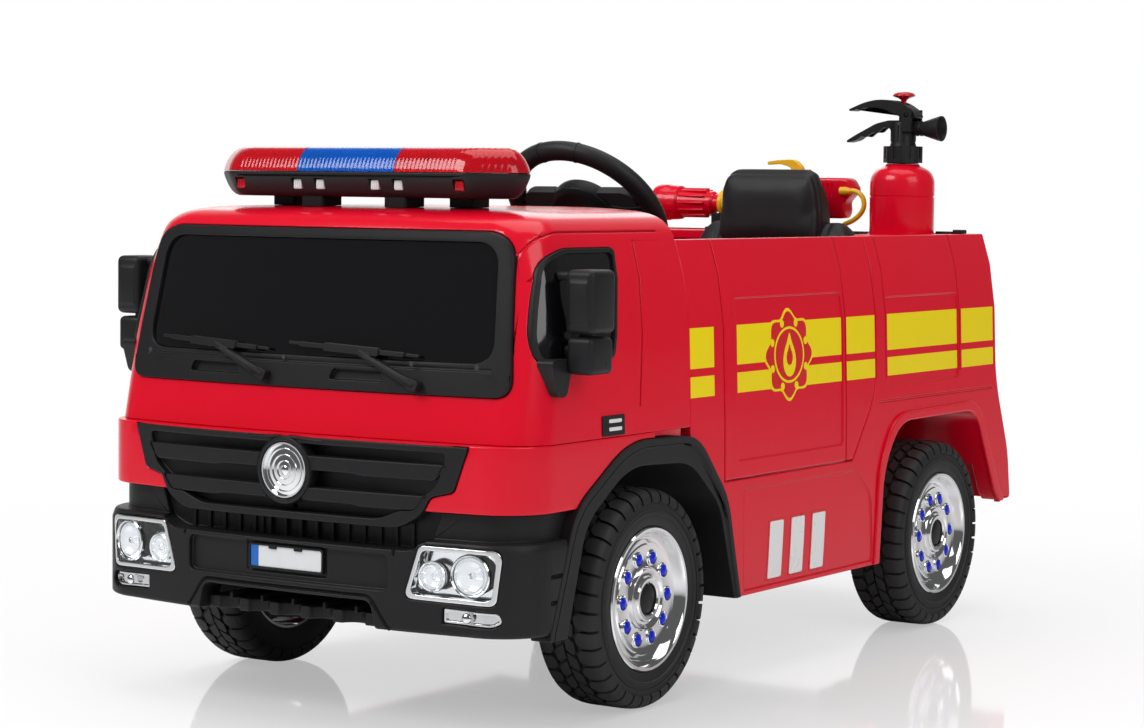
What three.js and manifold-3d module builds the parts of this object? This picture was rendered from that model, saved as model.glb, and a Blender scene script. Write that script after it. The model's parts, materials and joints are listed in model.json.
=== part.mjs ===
// A child's battery ride-on fire engine, in millimetres.
// +Z is up, the nose points along -Y and +X is the vehicle's left side.
// Heights are measured from the ground with standard wheels; larger wheels lift the whole vehicle.

import * as THREE from 'three';
import { mergeVertices } from 'three/addons/utils/BufferGeometryUtils.js';
import Module from 'manifold-3d';

const wasm = await Module();
wasm.setup();

// ---------------------------------------------------------------- driving dimensions

const gap = 0.3; // between pieces that rest on each other
const play = 0.8; // between a pin and the hole it turns in

const bodyHalf = 285;
const bodyTop = 507;
const bodyWall = 14;
const sillZ = 100;
const beltZ = 301; // where the upper cab meets the lower band
const roofZ = 541;
const cabWall = 6;

const axleZ = 120;
const wheelRadius = 120;
const tyreWidth = 78;
const rimRadius = 80;
const rimWidth = 68;
const wheelOuterX = bodyHalf - 1;
const axleRadius = 6;

const frontAxleY = -326;
const wheelbase = 718;
const rearAxleY = frontAxleY + wheelbase;
const noseY = -608;
const tailY = rearAxleY + 216;

const cabRearY = -248;
const backWallY = rearAxleY + 165;
const kingpinX = wheelOuterX - 99;
const deckHalf = kingpinX - 35;
const seatHalf = 128;

// ---------------------------------------------------------------- materials

const finish = (color, roughness, metalness = 0) => new THREE.MeshStandardMaterial({ color, roughness, metalness });
const red = finish(0xd80522, 0.25);
const black = finish(0x1c1c1e, 0.55);
const glossBlack = finish(0x08080a, 0.1);
const leather = finish(0x161618, 0.6);
const rubber = finish(0x141415, 0.8);
const chrome = finish(0xd8dade, 0.12, 1);
const steel = finish(0x9a9ca0, 0.35, 1);
const redLens = finish(0xc4001c, 0.15);
const blueLens = finish(0x0a35c8, 0.15);
const clearLens = finish(0xdfe6ea, 0.08);
const silver = finish(0xc6cacc, 0.2, 1);
const white = finish(0xe8e8e8, 0.4);
const yellow = finish(0xf2c818, 0.35);
const grey = finish(0x4a4c50, 0.6);

// ---------------------------------------------------------------- shape helpers

// A closed outline; a corner's third number is its rounding.
function outline(corners) {
  const shape = new THREE.Shape();
  corners.forEach(([a, b, rounding = 0], i) => {
    const corner = new THREE.Vector2(a, b);
    const before = new THREE.Vector2(...corners.at(i - 1).slice(0, 2)).sub(corner);
    const after = new THREE.Vector2(...corners[(i + 1) % corners.length].slice(0, 2)).sub(corner);
    const reach = Math.min(rounding, before.length() * 0.48, after.length() * 0.48);
    const start = corner.clone().add(before.setLength(reach));
    const end = corner.clone().add(after.setLength(reach));
    if (i === 0) shape.moveTo(start.x, start.y);
    else shape.lineTo(start.x, start.y);
    if (reach > 0) shape.quadraticCurveTo(corner.x, corner.y, end.x, end.y);
  });
  return shape;
}

// The same corners with every side moved outwards.
function grown(corners, distance) {
  const by = distance * Math.sign(THREE.ShapeUtils.area(corners.map(([x, y]) => ({ x, y }))));
  return corners.map(([a, b, rounding = 0], i) => {
    const here = new THREE.Vector2(a, b);
    const into = here.clone().sub(new THREE.Vector2(...corners.at(i - 1).slice(0, 2))).normalize();
    const out = new THREE.Vector2(...corners[(i + 1) % corners.length].slice(0, 2)).sub(here).normalize();
    const cross = into.cross(out);
    if (Math.abs(cross) < 1e-6) return [a + out.y * by, b - out.x * by, rounding];
    const along = (1 - into.dot(out)) / cross;
    const moved = here.add(new THREE.Vector2(into.y, -into.x).multiplyScalar(by)).add(into.multiplyScalar(along * by));
    return [moved.x, moved.y, rounding];
  });
}

function solid(geometry) {
  geometry.deleteAttribute('normal');
  geometry.deleteAttribute('uv');
  const merged = mergeVertices(geometry, 1e-4);
  return new wasm.Manifold(new wasm.Mesh({
    numProp: 3,
    vertProperties: new Float32Array(merged.getAttribute('position').array),
    triVerts: new Uint32Array(merged.getIndex().array),
  }));
}

function extruded(corners, depth, rows, curveSegments) {
  const geometry = new THREE.ExtrudeGeometry(outline(corners), { depth, bevelEnabled: false, curveSegments });
  geometry.applyMatrix4(new THREE.Matrix4().set(...rows, 0, 0, 0, 1));
  return solid(geometry);
}

// Corners are (y, z), (x, z) and (x, y) in turn.
const alongX = (corners, from, to, steps = 3) =>
  extruded(corners, to - from, [0, 0, 1, from, 1, 0, 0, 0, 0, 1, 0, 0], steps);
const alongY = (corners, from, to, steps = 3) =>
  extruded(corners, to - from, [1, 0, 0, 0, 0, 0, -1, to, 0, 1, 0, 0], steps);
// lean moves the outline along Y by that much for each millimetre above leanZ.
const alongZ = (corners, from, to, steps = 4, lean = 0, leanZ = 0) =>
  extruded(corners, to - from, [1, 0, 0, 0, 0, 1, lean, lean * (from - leanZ), 0, 0, 1, from], steps);

function block([x0, x1], [y0, y1], [z0, z1]) {
  const geometry = new THREE.BoxGeometry(x1 - x0, y1 - y0, z1 - z0);
  geometry.translate((x0 + x1) / 2, (y0 + y1) / 2, (z0 + z1) / 2);
  return solid(geometry);
}

// A solid of revolution about Z; the profile starts and ends on the axis or closes on itself.
function turned(profile, segments = 20) {
  const points = profile.map(([r, z]) => new THREE.Vector2(r, z));
  const closed = profile[0][0] > 0 && profile.at(-1)[0] > 0;
  if (closed) points.push(points[0].clone());
  const geometry = new THREE.LatheGeometry(points, segments);
  geometry.rotateX(Math.PI / 2);
  const made = solid(geometry);
  return made.volume() < 0 ? flipped(made) : made;
}

function flipped(made) {
  const mesh = made.getMesh();
  const turnedRound = mesh.triVerts.slice();
  for (let i = 0; i < turnedRound.length; i += 3) turnedRound.subarray(i, i + 3).reverse();
  return new wasm.Manifold(new wasm.Mesh({ numProp: 3, vertProperties: mesh.vertProperties, triVerts: turnedRound }));
}

function rod(radius, from, to, segments = 16) {
  return turned([[0, from], [radius, from], [radius, to], [0, to]], segments);
}

function placed(made, place, tilt = [0, 0, 0]) {
  const matrix = new THREE.Matrix4().makeRotationFromEuler(new THREE.Euler(...tilt));
  matrix.setPosition(...place);
  return made.transform(matrix.toArray());
}

const quarter = Math.PI / 2;
const facingX = [0, quarter, 0]; // turns a piece made about Z so that it lies along X
const facingY = [-quarter, 0, 0];
const together = (...pieces) => pieces.reduce((sum, piece) => sum.add(piece));

// ---------------------------------------------------------------- scene graph

const truck = new THREE.Group();

function node(name, made, material, parent = truck) {
  const result = made.getMesh();
  const geometry = new THREE.BufferGeometry();
  geometry.setAttribute('position', new THREE.BufferAttribute(result.vertProperties, 3));
  geometry.setIndex(new THREE.BufferAttribute(result.triVerts, 1));
  const mesh = new THREE.Mesh(geometry, material);
  mesh.name = name;
  parent.add(mesh);
  return mesh;
}

const sides = [['left', 1], ['right', -1]];

// A piece drawn for the left side, or its mirror image for the right.
function handed(made, side) {
  if (side > 0) return made;
  const mesh = made.getMesh();
  const points = mesh.vertProperties.slice();
  for (let i = 0; i < points.length; i += 3) points[i] = -points[i];
  const faces = mesh.triVerts.slice();
  for (let i = 0; i < faces.length; i += 3) faces.subarray(i, i + 3).reverse();
  return new wasm.Manifold(new wasm.Mesh({ numProp: 3, vertProperties: points, triVerts: faces }));
}

// ---------------------------------------------------------------- body surfaces

// How far the side leans in at each height.
const sideLean = [[60, 0], [150, 0], [300, 2], [409, 6], [467, 14], [bodyTop, 26]];

function sectionSolid(inset, upper, from, to) {
  const right = sideLean.map(([z, lean]) => [bodyHalf - lean - inset, z]);
  const corners = [...right, ...upper.map(([x, z, rounding]) => [x, z, rounding])];
  const left = corners.map(([x, z, rounding]) => [-x, z, rounding]).reverse();
  return alongY([...corners, ...left], from, to);
}

// Plan outline of a bowed nose: [middle y, shoulder y at bowHalf, corner y, corner rounding].
const bowHalf = 120;
function noseCorners([middle, shoulder, corner, rounding], half, inset, back) {
  const left = [
    [half - inset, back],
    [half - inset, corner + inset, rounding],
    [bowHalf, shoulder + inset],
    [bowHalf / 2, (middle * 2 + shoulder) / 3 + inset],
  ];
  const right = left.map(([x, y, rounded]) => [-x, y, rounded]).reverse();
  return [...left, ...right].reverse();
}

const cabNose = [-573, -571, -558, 46];
const bandNose = [noseY + 5, noseY + 7, noseY + 22, 78];
const bumperNose = [noseY, noseY + 2, noseY + 20, 75];
const screenRake = 0.175;
const screenZ = 355;
const roofBack = 34; // the roof's rear edge bows out behind the cab sides

function cabSolid(inset) {
  const shoulder = [[bodyHalf - 47 - inset, roofZ - 9 - inset, 14], [120, roofZ - inset]];
  const across = sectionSolid(inset, shoulder, cabNose[0] - 60, 0);
  const lengthways = alongX([
    [0, 60],
    [0, roofZ + 20],
    [cabRearY - 10, roofZ + 2 - inset],
    [-470, roofZ - inset, 20],
    [-552 + inset, roofZ - 12 - inset, 22],
    [-588 + inset, beltZ - 30],
    [-588 + inset, 60],
  ].reverse(), -bodyHalf - 10, bodyHalf + 10);
  const nose = alongZ(noseCorners(cabNose, bodyHalf, inset, 20), 200, roofZ + 30, 4, screenRake, screenZ);
  const back = alongZ([
    [bodyHalf + 10, -700],
    [bodyHalf + 10, cabRearY],
    [bodyHalf - 50, cabRearY],
    [120, cabRearY + roofBack * 0.8, 40],
    [-120, cabRearY + roofBack * 0.8, 40],
    [-bodyHalf + 50, cabRearY],
    [-bodyHalf - 10, cabRearY],
    [-bodyHalf - 10, -700],
  ], 100, roofZ + 30);
  return across.intersect(lengthways).intersect(nose).intersect(back);
}

const noseSolid = (nose, half, inset, from, to, back = 0) =>
  alongZ(noseCorners(nose, half, inset, back), from, to, 4);

// Wheel arch corners, as [angle above the axle line in degrees, clearance to the tyre].
function archCorners(axleY, list, by = 0) {
  return list.map(([degrees, clearance, rounding = 0]) => {
    const angle = THREE.MathUtils.degToRad(degrees);
    const reach = wheelRadius + clearance + by;
    return [axleY + Math.cos(angle) * reach, axleZ + Math.sin(angle) * reach, rounding];
  });
}

const trimOuter = [[-7, 71], [32, 65, 24], [63, 74, 30], [107, 64, 40], [145, 75, 30], [184, 85]];
const trimInner = [[-6.5, 57], [33, 46, 20], [63, 41, 26], [110, 38, 34], [145, 47, 26], [185, 50]];
const rearArch = [[-7, 62], [30, 77, 30], [50, 81, 34], [122, 63, 30], [165, 46], [171, 57]];
const mirroredAngles = (list) => list.map(([degrees, ...rest]) => [180 - degrees, ...rest]).reverse();

function archCut(axleY, list, by, from, to) {
  const corners = archCorners(axleY, list, by);
  return alongX([...corners, [corners.at(-1)[0], 0], [corners[0][0], 0]], from, to);
}

// ---------------------------------------------------------------- cab

const windowCorners = [
  [-375, 387, 16],
  [-375, 500, 16],
  [-483, 500, 22],
  [-546, 408, 18],
  [-530, 387, 14],
].reverse();
const screenHalf = bodyHalf - 45;
const frameCorners = [
  [screenHalf + 12, screenZ - 6, 20],
  [screenHalf + 8, 517, 34],
  [-screenHalf - 8, 517, 34],
  [-screenHalf - 12, screenZ - 6, 20],
].reverse();
const glassCorners = [
  [screenHalf - 3, 383, 26],
  [screenHalf - 5, 506, 26],
  [-screenHalf + 5, 506, 26],
  [-screenHalf + 3, 383, 26],
].reverse();
const frontOnly = (corners, depth = 130) => alongY(corners, cabNose[0] - 60, cabNose[0] + depth);

const cabOuter = cabSolid(0);
const cabInner = cabSolid(cabWall);
const archOpening = archCut(frontAxleY, trimOuter, gap, -bodyHalf - 40, bodyHalf + 40);

const cabShell = cabOuter
  .subtract(cabInner)
  .subtract(block([-bodyHalf - 10, bodyHalf + 10], [-700, 10], [0, beltZ + gap]))
  .subtract(archOpening)
  .subtract(block([-bodyHalf + 40, bodyHalf - 40], [cabRearY - 20, cabRearY + 60], [0, roofZ - cabWall - 14]))
  .subtract(alongX(grown(windowCorners, gap), -bodyHalf - 5, bodyHalf + 5))
  .subtract(frontOnly(grown(frameCorners, gap)));
node('cab_shell', cabShell, red);

const screenFrame = cabSolid(-3)
  .subtract(cabInner)
  .intersect(frontOnly(frameCorners))
  .subtract(frontOnly(grown(glassCorners, gap)));
node('windscreen_frame', screenFrame, black);

const screenPanel = cabOuter.subtract(cabSolid(4)).intersect(frontOnly(glassCorners));
node('windscreen_panel', screenPanel, glossBlack);

const windowPane = cabSolid(1.5).subtract(cabSolid(5));
for (const [name, side] of sides) {
  const pane = windowPane.intersect(alongX(windowCorners, bodyHalf - 60, bodyHalf));
  node(`side_window_${name}`, handed(pane, side), glossBlack);
}

// Red band between the cab and the bumper, with a pocket for the grille.
const bandBottom = 232;
const bandDepth = 26;
const grilleCorners = [
  [204, beltZ - 1],
  [-204, beltZ - 1],
  [-180, 240, 10],
  [-120, 214, 14],
  [120, 214, 14],
  [180, 240, 10],
].reverse();
const grilleDepth = 20;
const band = noseSolid(bandNose, bodyHalf, 0, bandBottom, beltZ)
  .subtract(noseSolid(bandNose, bodyHalf, bandDepth, bandBottom - 5, beltZ + 5))
  .subtract(alongY(grown(grilleCorners, gap), noseY - 20, bandNose[1] + grilleDepth + gap))
  .subtract(archOpening)
  .subtract(block([-bodyHalf - 5, bodyHalf + 5], [frontAxleY, 50], [0, beltZ + 5]));
node('cab_lower_band', band, red);

const slat = (z0, z1) => alongY([[190, z0], [190, z1], [-190, z1], [-190, z0]].reverse(), noseY - 20, bandNose[1] + 10);
const grilleBody = noseSolid(bandNose, bodyHalf, -2, 200, beltZ + 5)
  .intersect(alongY(grilleCorners, noseY - 20, bandNose[1] + grilleDepth));
const grille = grilleBody.subtract(slat(281, 290)).subtract(slat(248, 263));
const badgeRadius = 30;
const badgeZ = 264;
const badgeDepth = 5;
const badgeDisc = (radius, from, to) => placed(rod(radius, from, to, 20), [0, noseY, badgeZ], facingY);
const badgeSeat = badgeDisc(badgeRadius + 4, 0, 20).intersect(grilleBody);
node('grille', grille.add(badgeSeat).subtract(badgeDisc(badgeRadius + gap, -5, badgeDepth + gap)), black);
node('grille_badge', badgeDisc(badgeRadius, 0, badgeDepth), chrome);

// ---------------------------------------------------------------- bumper, lamps and plates

const bumperHalf = bodyHalf + 3;
const bumperBottom = 107;
const bumperTop = 203;
const bumperWall = 32;
const lipHalf = 118;
const lipZ = 136;
const lampCorners = [[256, 140, 8], [262, 197, 12], [170, 198, 6], [152, 142, 12]];
const recessCorners = [[133, 148, 8], [133, 186, 8], [-133, 186, 8], [-133, 148, 8]];
const plateCorners = [[50, 157, 2], [50, 184, 2], [-50, 184, 2], [-50, 157, 2]];
const lampDepth = 24;
const plateDepth = 8;
const frontBand = (corners, depth = 90) => alongY(corners, noseY - 20, noseY + depth);

let bumper = noseSolid(bumperNose, bumperHalf, 0, bumperBottom, bumperTop)
  .add(noseSolid(bumperNose, bumperHalf, 12, bumperTop - 5, bandBottom - gap))
  .subtract(noseSolid(bumperNose, bumperHalf, bumperWall, 50, 300))
  .subtract(alongY(grown(grilleCorners, gap), noseY - 20, bandNose[1] + grilleDepth + gap))
  .subtract(frontBand([[lipHalf + 6, 80], [lipHalf - 6, lipZ, 6], [-lipHalf + 6, lipZ, 6], [-lipHalf - 6, 80]]))
  .subtract(frontBand(recessCorners).subtract(noseSolid(bumperNose, bumperHalf, plateDepth, 100, 300)))
  .subtract(archOpening)
  .subtract(block([-400, 400], [frontAxleY - 100, 50], [0, 400]));
for (const [, side] of sides) {
  const pocket = frontBand(grown(lampCorners, gap)).subtract(noseSolid(bumperNose, bumperHalf, lampDepth + gap, 100, 300));
  bumper = bumper.subtract(handed(pocket, side));
}
node('front_bumper', bumper, black);

for (const [name, side] of sides) {
  const lamp = frontBand(lampCorners);
  const bowl = noseSolid(bumperNose, bumperHalf, 10, 100, 300)
    .subtract(noseSolid(bumperNose, bumperHalf, lampDepth, 90, 310));
  const lens = noseSolid(bumperNose, bumperHalf, 0.5, 100, 300)
    .subtract(noseSolid(bumperNose, bumperHalf, 5, 90, 310));
  node(`headlight_bowl_${name}`, handed(bowl.intersect(lamp), side), silver);
  node(`headlight_lens_${name}`, handed(lens.intersect(lamp), side), clearLens);
}

const plate = noseSolid(bumperNose, bumperHalf, plateDepth - gap - 3, 100, 300)
  .subtract(noseSolid(bumperNose, bumperHalf, plateDepth - gap, 90, 310))
  .intersect(frontBand(plateCorners));
node('number_plate', plate, white);

// Scalloped skid plate in the bumper's lower cut-out.
const skidTop = 120;
const skidBack = noseY + 110;
const scallops = 5;
let skid = noseSolid(bumperNose, bumperHalf, 14, bumperBottom + 1, skidTop)
  .intersect(block([-lipHalf + 4, lipHalf - 4], [noseY, skidBack], [0, 200]))
  .add(block([-lipHalf + 20, lipHalf - 20], [skidBack - 14, skidBack], [skidTop - 2, 140 - gap]));
for (let i = 0; i < scallops; i += 1) {
  const x = (i - (scallops - 1) / 2) * 42;
  skid = skid.subtract(placed(rod(15, -30, 30, 12), [x, noseY + 12, bumperBottom]));
}
node('skid_plate', skid, black);

// ---------------------------------------------------------------- arch trims

const trimX = bodyHalf + 3;
const linerWall = 4;
for (const [name, side] of sides) {
  const trim = archCut(frontAxleY, trimOuter, 0, bodyHalf - 22, trimX)
    .add(archCut(frontAxleY, trimInner, linerWall, deckHalf + 6, trimX - 5))
    .subtract(archCut(frontAxleY, trimInner, 0, 0, trimX + 5))
    .subtract(block([0, 400], [-900, 200], [-10, sillZ]));
  node(`arch_trim_${name}`, handed(trim, side), black);
}

// ---------------------------------------------------------------- rear body

const boxFrontY = cabRearY + gap;
const doorFrontY = frontAxleY + wheelRadius + 33;
const doorRearY = rearAxleY - wheelRadius - 67;
const doorBottom = axleZ + wheelRadius - 6;
const doorCorners = [
  [doorFrontY + 3, doorBottom + gap],
  [doorRearY - 66, doorBottom + gap],
  [doorRearY - 3, doorBottom + 84, 30],
  [doorRearY - 3, bodyTop + 5],
  [doorFrontY + 3, bodyTop + 5],
];
const openingCorners = [
  [doorFrontY, doorBottom],
  [doorRearY - 64, doorBottom],
  [doorRearY, doorBottom + 82, 30],
  [doorRearY, bodyTop + 20],
  [doorFrontY, bodyTop + 20],
];

const rearArchCorners = archCorners(rearAxleY, mirroredAngles(rearArch));
const deckZ = Math.max(...rearArchCorners.map(([, z]) => z)) + bodyWall;
const frontFoot = archCorners(frontAxleY, trimOuter, gap)[0];
const rearFoot = rearArchCorners.at(-1);
const tailFoot = rearArchCorners[0];
const bodyOutline = [
  [frontFoot[0], sillZ],
  [rearFoot[0], sillZ],
  ...[...rearArchCorners].reverse().slice(1, -1),
  [tailFoot[0], tailFoot[1]],
  [tailY, tailFoot[1], 6],
  [tailY - 8, 213, 20],
  [backWallY + 2, 311, 30],
  [backWallY, bodyTop],
  [boxFrontY, bodyTop],
  [boxFrontY, sillZ],
];
const cavityOutline = [
  [boxFrontY - 20, sillZ - 20],
  [rearFoot[0] - bodyWall, sillZ - 20],
  [rearArchCorners.at(-2)[0] - bodyWall - 2, rearArchCorners.at(-2)[1]],
  [rearArchCorners.at(-3)[0] - bodyWall - 2, deckZ],
  [backWallY - bodyWall, deckZ],
  [backWallY - bodyWall, bodyTop + 20],
  [boxFrontY - 20, bodyTop + 20],
];
const tailHollow = [
  [tailFoot[0] - 44, 262],
  [tailFoot[0] - 22, 120],
  [tailY - 12, 120],
  [tailY - 22, 208],
  [backWallY - 2, 262],
];

// Storage shelf behind the seat, with the well that holds the extinguisher.
const shelfFront = backWallY - 68;
const bottleRadius = 43;
const wellRadius = bottleRadius + 2;
const wellWall = 3.4;
const bottleX = seatHalf + gap * 2 + wellRadius + wellWall;
const bottleY = backWallY - wellRadius - 34;
const wellFloor = 400;
const gunY = backWallY - 47;
const hoseFoot = [66, gunY - 14, bodyTop - 2];
const hoseLean = THREE.MathUtils.degToRad(50);
const gunZ = 543;

const boxSolid = (inset) => sectionSolid(inset, [], boxFrontY - 20, tailY + 20);
let box = boxSolid(0)
  .intersect(alongX(bodyOutline, -400, 400))
  .subtract(boxSolid(bodyWall).intersect(alongX(cavityOutline, -400, 400)))
  .subtract(archCut(frontAxleY, trimOuter, gap, -400, 400))
  .subtract(alongX(tailHollow, -bodyHalf + 24, bodyHalf - 24))
  .subtract(alongX(openingCorners, -400, 400));
const cavitySides = boxSolid(bodyWall - 1);
const shelf = together(
  block([-300, 300], [shelfFront, backWallY - 5], [bodyTop - 14, bodyTop - 2]),
  block([seatHalf + 4, 300], [bottleY - wellRadius - 7, shelfFront + 5], [bodyTop - 14, bodyTop - 2]),
  placed(rod(wellRadius + wellWall, wellFloor - 6, bodyTop - 2, 24), [bottleX, bottleY, 0]),
).intersect(cavitySides);
const cradle = (x) => block([x - 8, x + 8], [gunY - 14, gunY + 14], [bodyTop - 6, gunZ - 12]);
box = box
  .add(shelf)
  .add(cradle(-120))
  .add(cradle(30))
  .add(placed(rod(6, -12, 8, 10), hoseFoot, [0, hoseLean, 0]))
  .subtract(placed(rod(wellRadius, wellFloor, bodyTop + 40, 24), [bottleX, bottleY, 0]))
  .subtract(block([-deckHalf - 1, deckHalf + 1], [rearFoot[0] - 30, tailY + 10], [0, 150 + gap * 2]));

// ---------------------------------------------------------------- doors

const hingeX = bodyHalf - 5.5;
const hingeY = doorFrontY + 8.5;
const hingePinRadius = 2;
const doorSkin = boxSolid(0).subtract(boxSolid(bodyWall));
for (const [name, side] of sides) {
  const pin = rod(hingePinRadius, doorBottom - 8, doorBottom + 6, 10);
  const door = doorSkin
    .intersect(alongX(doorCorners, 100, 300))
    .add(placed(pin, [hingeX, hingeY, 0]));
  node(`door_${name}`, handed(door, side), red);
  box = box.subtract(placed(rod(hingePinRadius + play, doorBottom - 9, doorBottom + 5, 10), [side * hingeX, hingeY, 0]));
}

// ---------------------------------------------------------------- chassis

const deckBottom = axleZ + 20;
const deckTop = deckBottom + 10;
const trayHalf = bodyHalf - bodyWall - gap;
const trayFront = frontFoot[0] + gap * 2;
const trayRear = rearFoot[0] - bodyWall - gap;
const postY = frontAxleY - 17;
const hangerX = 126;

// Steering column line: from the wheel centre down and forward.
const wheelCentre = [0, -25, 536];
const columnTilt = THREE.MathUtils.degToRad(42); // of the wheel's plane from upright
const columnAxis = [0, Math.cos(columnTilt), Math.sin(columnTilt)];
const columnTurn = [-(quarter - columnTilt), 0, 0]; // turns Z onto the column
const onColumn = (made) => placed(made, wheelCentre, columnTurn);
const columnRadius = 8;
const columnLength = 456;

let chassis = together(
  block([-trayHalf, trayHalf], [trayFront, trayRear], [sillZ, sillZ + 10]),
  block([-deckHalf, deckHalf], [trayFront, trayFront + 10], [sillZ, deckTop]),
  block([-deckHalf, deckHalf], [trayRear - 10, trayRear], [sillZ, deckTop]),
  block([-deckHalf, deckHalf], [noseY, trayFront + 10], [deckBottom, deckTop])
    .intersect(noseSolid(bumperNose, bumperHalf, bumperWall + gap, 50, 300, 50)),
  block([-deckHalf, deckHalf], [trayRear - 10, backWallY - 12], [deckBottom, deckTop]),
  block([-16, 16], [postY - 9, postY + 9], [deckTop - 2, 264]),
);
for (const side of [1, -1]) {
  chassis = chassis.add(block(
    [side * hangerX - 6, side * hangerX + 6],
    [rearAxleY - 20, rearAxleY + 20],
    [axleZ - 20, deckBottom + 2],
  ));
}
const pedalX = -80;
const pedalHalf = 30;
const pedalPivot = [pedalX, -182, deckTop + 10];
for (const side of [1, -1]) {
  const earX = pedalX + side * (pedalHalf + 5.5);
  chassis = chassis.add(block([earX - 3.5, earX + 3.5], [pedalPivot[1] - 9, pedalPivot[1] + 9], [deckTop - 2, deckTop + 19]));
}
chassis = chassis
  .subtract(placed(rod(axleRadius + play, -deckHalf - 5, deckHalf + 5, 16), [0, rearAxleY, axleZ], facingX))
  .subtract(placed(rod(4 + play, -pedalHalf - 20, pedalHalf + 20, 12), pedalPivot, facingX))
  .subtract(onColumn(rod(columnRadius + play, -columnLength - 40, -200, 16)));
node('chassis_pan', chassis, grey);
node('box_body', box, red);

const pedalPlate = alongX([
  [pedalPivot[1] + 7, pedalPivot[2] - 4, 2],
  [pedalPivot[1] + 7, pedalPivot[2] + 5, 2],
  [pedalPivot[1] - 76, pedalPivot[2] + 38, 3],
  [pedalPivot[1] - 79, pedalPivot[2] + 31, 3],
  [pedalPivot[1] - 4, pedalPivot[2] - 4, 2],
], pedalX - pedalHalf, pedalX + pedalHalf);
node('foot_pedal', pedalPlate.add(placed(rod(4, -pedalHalf - 8, pedalHalf + 8, 12), pedalPivot, facingX)), black);

const batteryY = rearAxleY;
node('battery', block([-76, 76], [batteryY - 48, batteryY + 48], [deckTop + gap, deckTop + 95]), grey);

// ---------------------------------------------------------------- steering linkage

const knuckleRadius = 13;
const kingpinRadius = 6;
const armLength = 60;
const armY = frontAxleY - armLength;
const rodZ = deckTop + 10;
let beam = block([-kingpinX + 18, kingpinX - 18], [frontAxleY - 12, frontAxleY + 12], [112, deckBottom - gap]);
for (const [, side] of sides) {
  const yoke = together(
    block([kingpinX - 26, kingpinX - 17], [frontAxleY - 14, frontAxleY + 14], [92, 148]),
    block([kingpinX - 26, kingpinX + 13], [frontAxleY - 14, frontAxleY + 14], [92, 100]),
    block([kingpinX - 26, kingpinX + 13], [frontAxleY - 14, frontAxleY + 14], [deckBottom, 148]),
  ).subtract(placed(rod(kingpinRadius + play, 80, 160, 16), [kingpinX, frontAxleY, 0]));
  beam = beam.add(handed(yoke, side));
}
node('front_axle_beam', beam, steel);

const hubFaceX = wheelOuterX - rimWidth - gap;
for (const [name, side] of sides) {
  const knuckle = together(
    placed(rod(knuckleRadius, 100 + gap, deckBottom - gap, 16), [kingpinX, frontAxleY, 0]),
    placed(rod(kingpinRadius, 88, 150, 16), [kingpinX, frontAxleY, 0]),
    placed(rod(axleRadius, kingpinX, wheelOuterX - 14, 16), [0, frontAxleY, axleZ], facingX),
    placed(rod(14, kingpinX + 6, hubFaceX, 16), [0, frontAxleY, axleZ], facingX),
    block([kingpinX - 5, kingpinX + 5], [armY - 6, frontAxleY], [128, 137]),
    placed(rod(4, 128, rodZ + 12, 12), [kingpinX, armY, 0]),
  );
  node(`knuckle_${name}`, handed(knuckle, side), steel);
}

const crankLength = 36;
const shaftEnd = [0, wheelCentre[1] - columnLength * columnAxis[1], wheelCentre[2] - columnLength * columnAxis[2]];
const crankTip = [0, shaftEnd[1] - crankLength * columnAxis[2], shaftEnd[2] + crankLength * columnAxis[1]];
const forkHalf = 4 + play;
const forkY = [crankTip[1] - 22, crankTip[1] - 13];
const tieRod = together(
  block([-kingpinX - 9, kingpinX + 9], [armY - 8, armY + 8], [rodZ, rodZ + 8]),
  block([-forkHalf - 8, -forkHalf], forkY, [rodZ, crankTip[2]]),
  block([forkHalf, forkHalf + 8], forkY, [rodZ, crankTip[2]]),
  block([-forkHalf - 8, forkHalf + 8], [forkY[0], armY], [rodZ, rodZ + 8]),
  block([-forkHalf - 8, forkHalf + 8], forkY, [rodZ, rodZ + 50]),
);
const slot = (side) => block([side * kingpinX - 4 - play, side * kingpinX + 4 + play], [armY - 5, armY + 10], [rodZ - 5, rodZ + 15]);
node('tie_rod', tieRod.subtract(slot(1)).subtract(slot(-1)), steel);

const shaft = onColumn(together(
  rod(columnRadius, -columnLength, -14 - gap, 16),
  rod(11, -columnLength - 8, -columnLength + 2, 16),
  placed(block([-7, 7], [-crankLength - 6, 0], [-8, 0]), [0, 0, -columnLength]),
  placed(rod(4, -34, -4, 12), [0, -crankLength, -columnLength]),
));
node('steering_shaft', shaft, steel);

// ---------------------------------------------------------------- steering wheel

const rimTube = 13;
const steerRadius = 109;
const torus = new THREE.TorusGeometry(steerRadius - rimTube, rimTube, 8, 32);
const steeringWheel = onColumn(together(
  solid(torus),
  block([-steerRadius + rimTube, steerRadius - rimTube], [-14, 14], [-8, 4]),
  block([-12, 12], [0, steerRadius - rimTube], [-8, 4]),
  rod(45, -14, 12, 24),
).subtract(rod(25 + play, 4, 20, 20)));
node('steering_wheel', steeringWheel, black);
node('horn_button', onColumn(turned([[0, 8], [25, 8], [25, 14], [18, 17], [0, 18]], 16)), red);

// ---------------------------------------------------------------- dashboard

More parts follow.
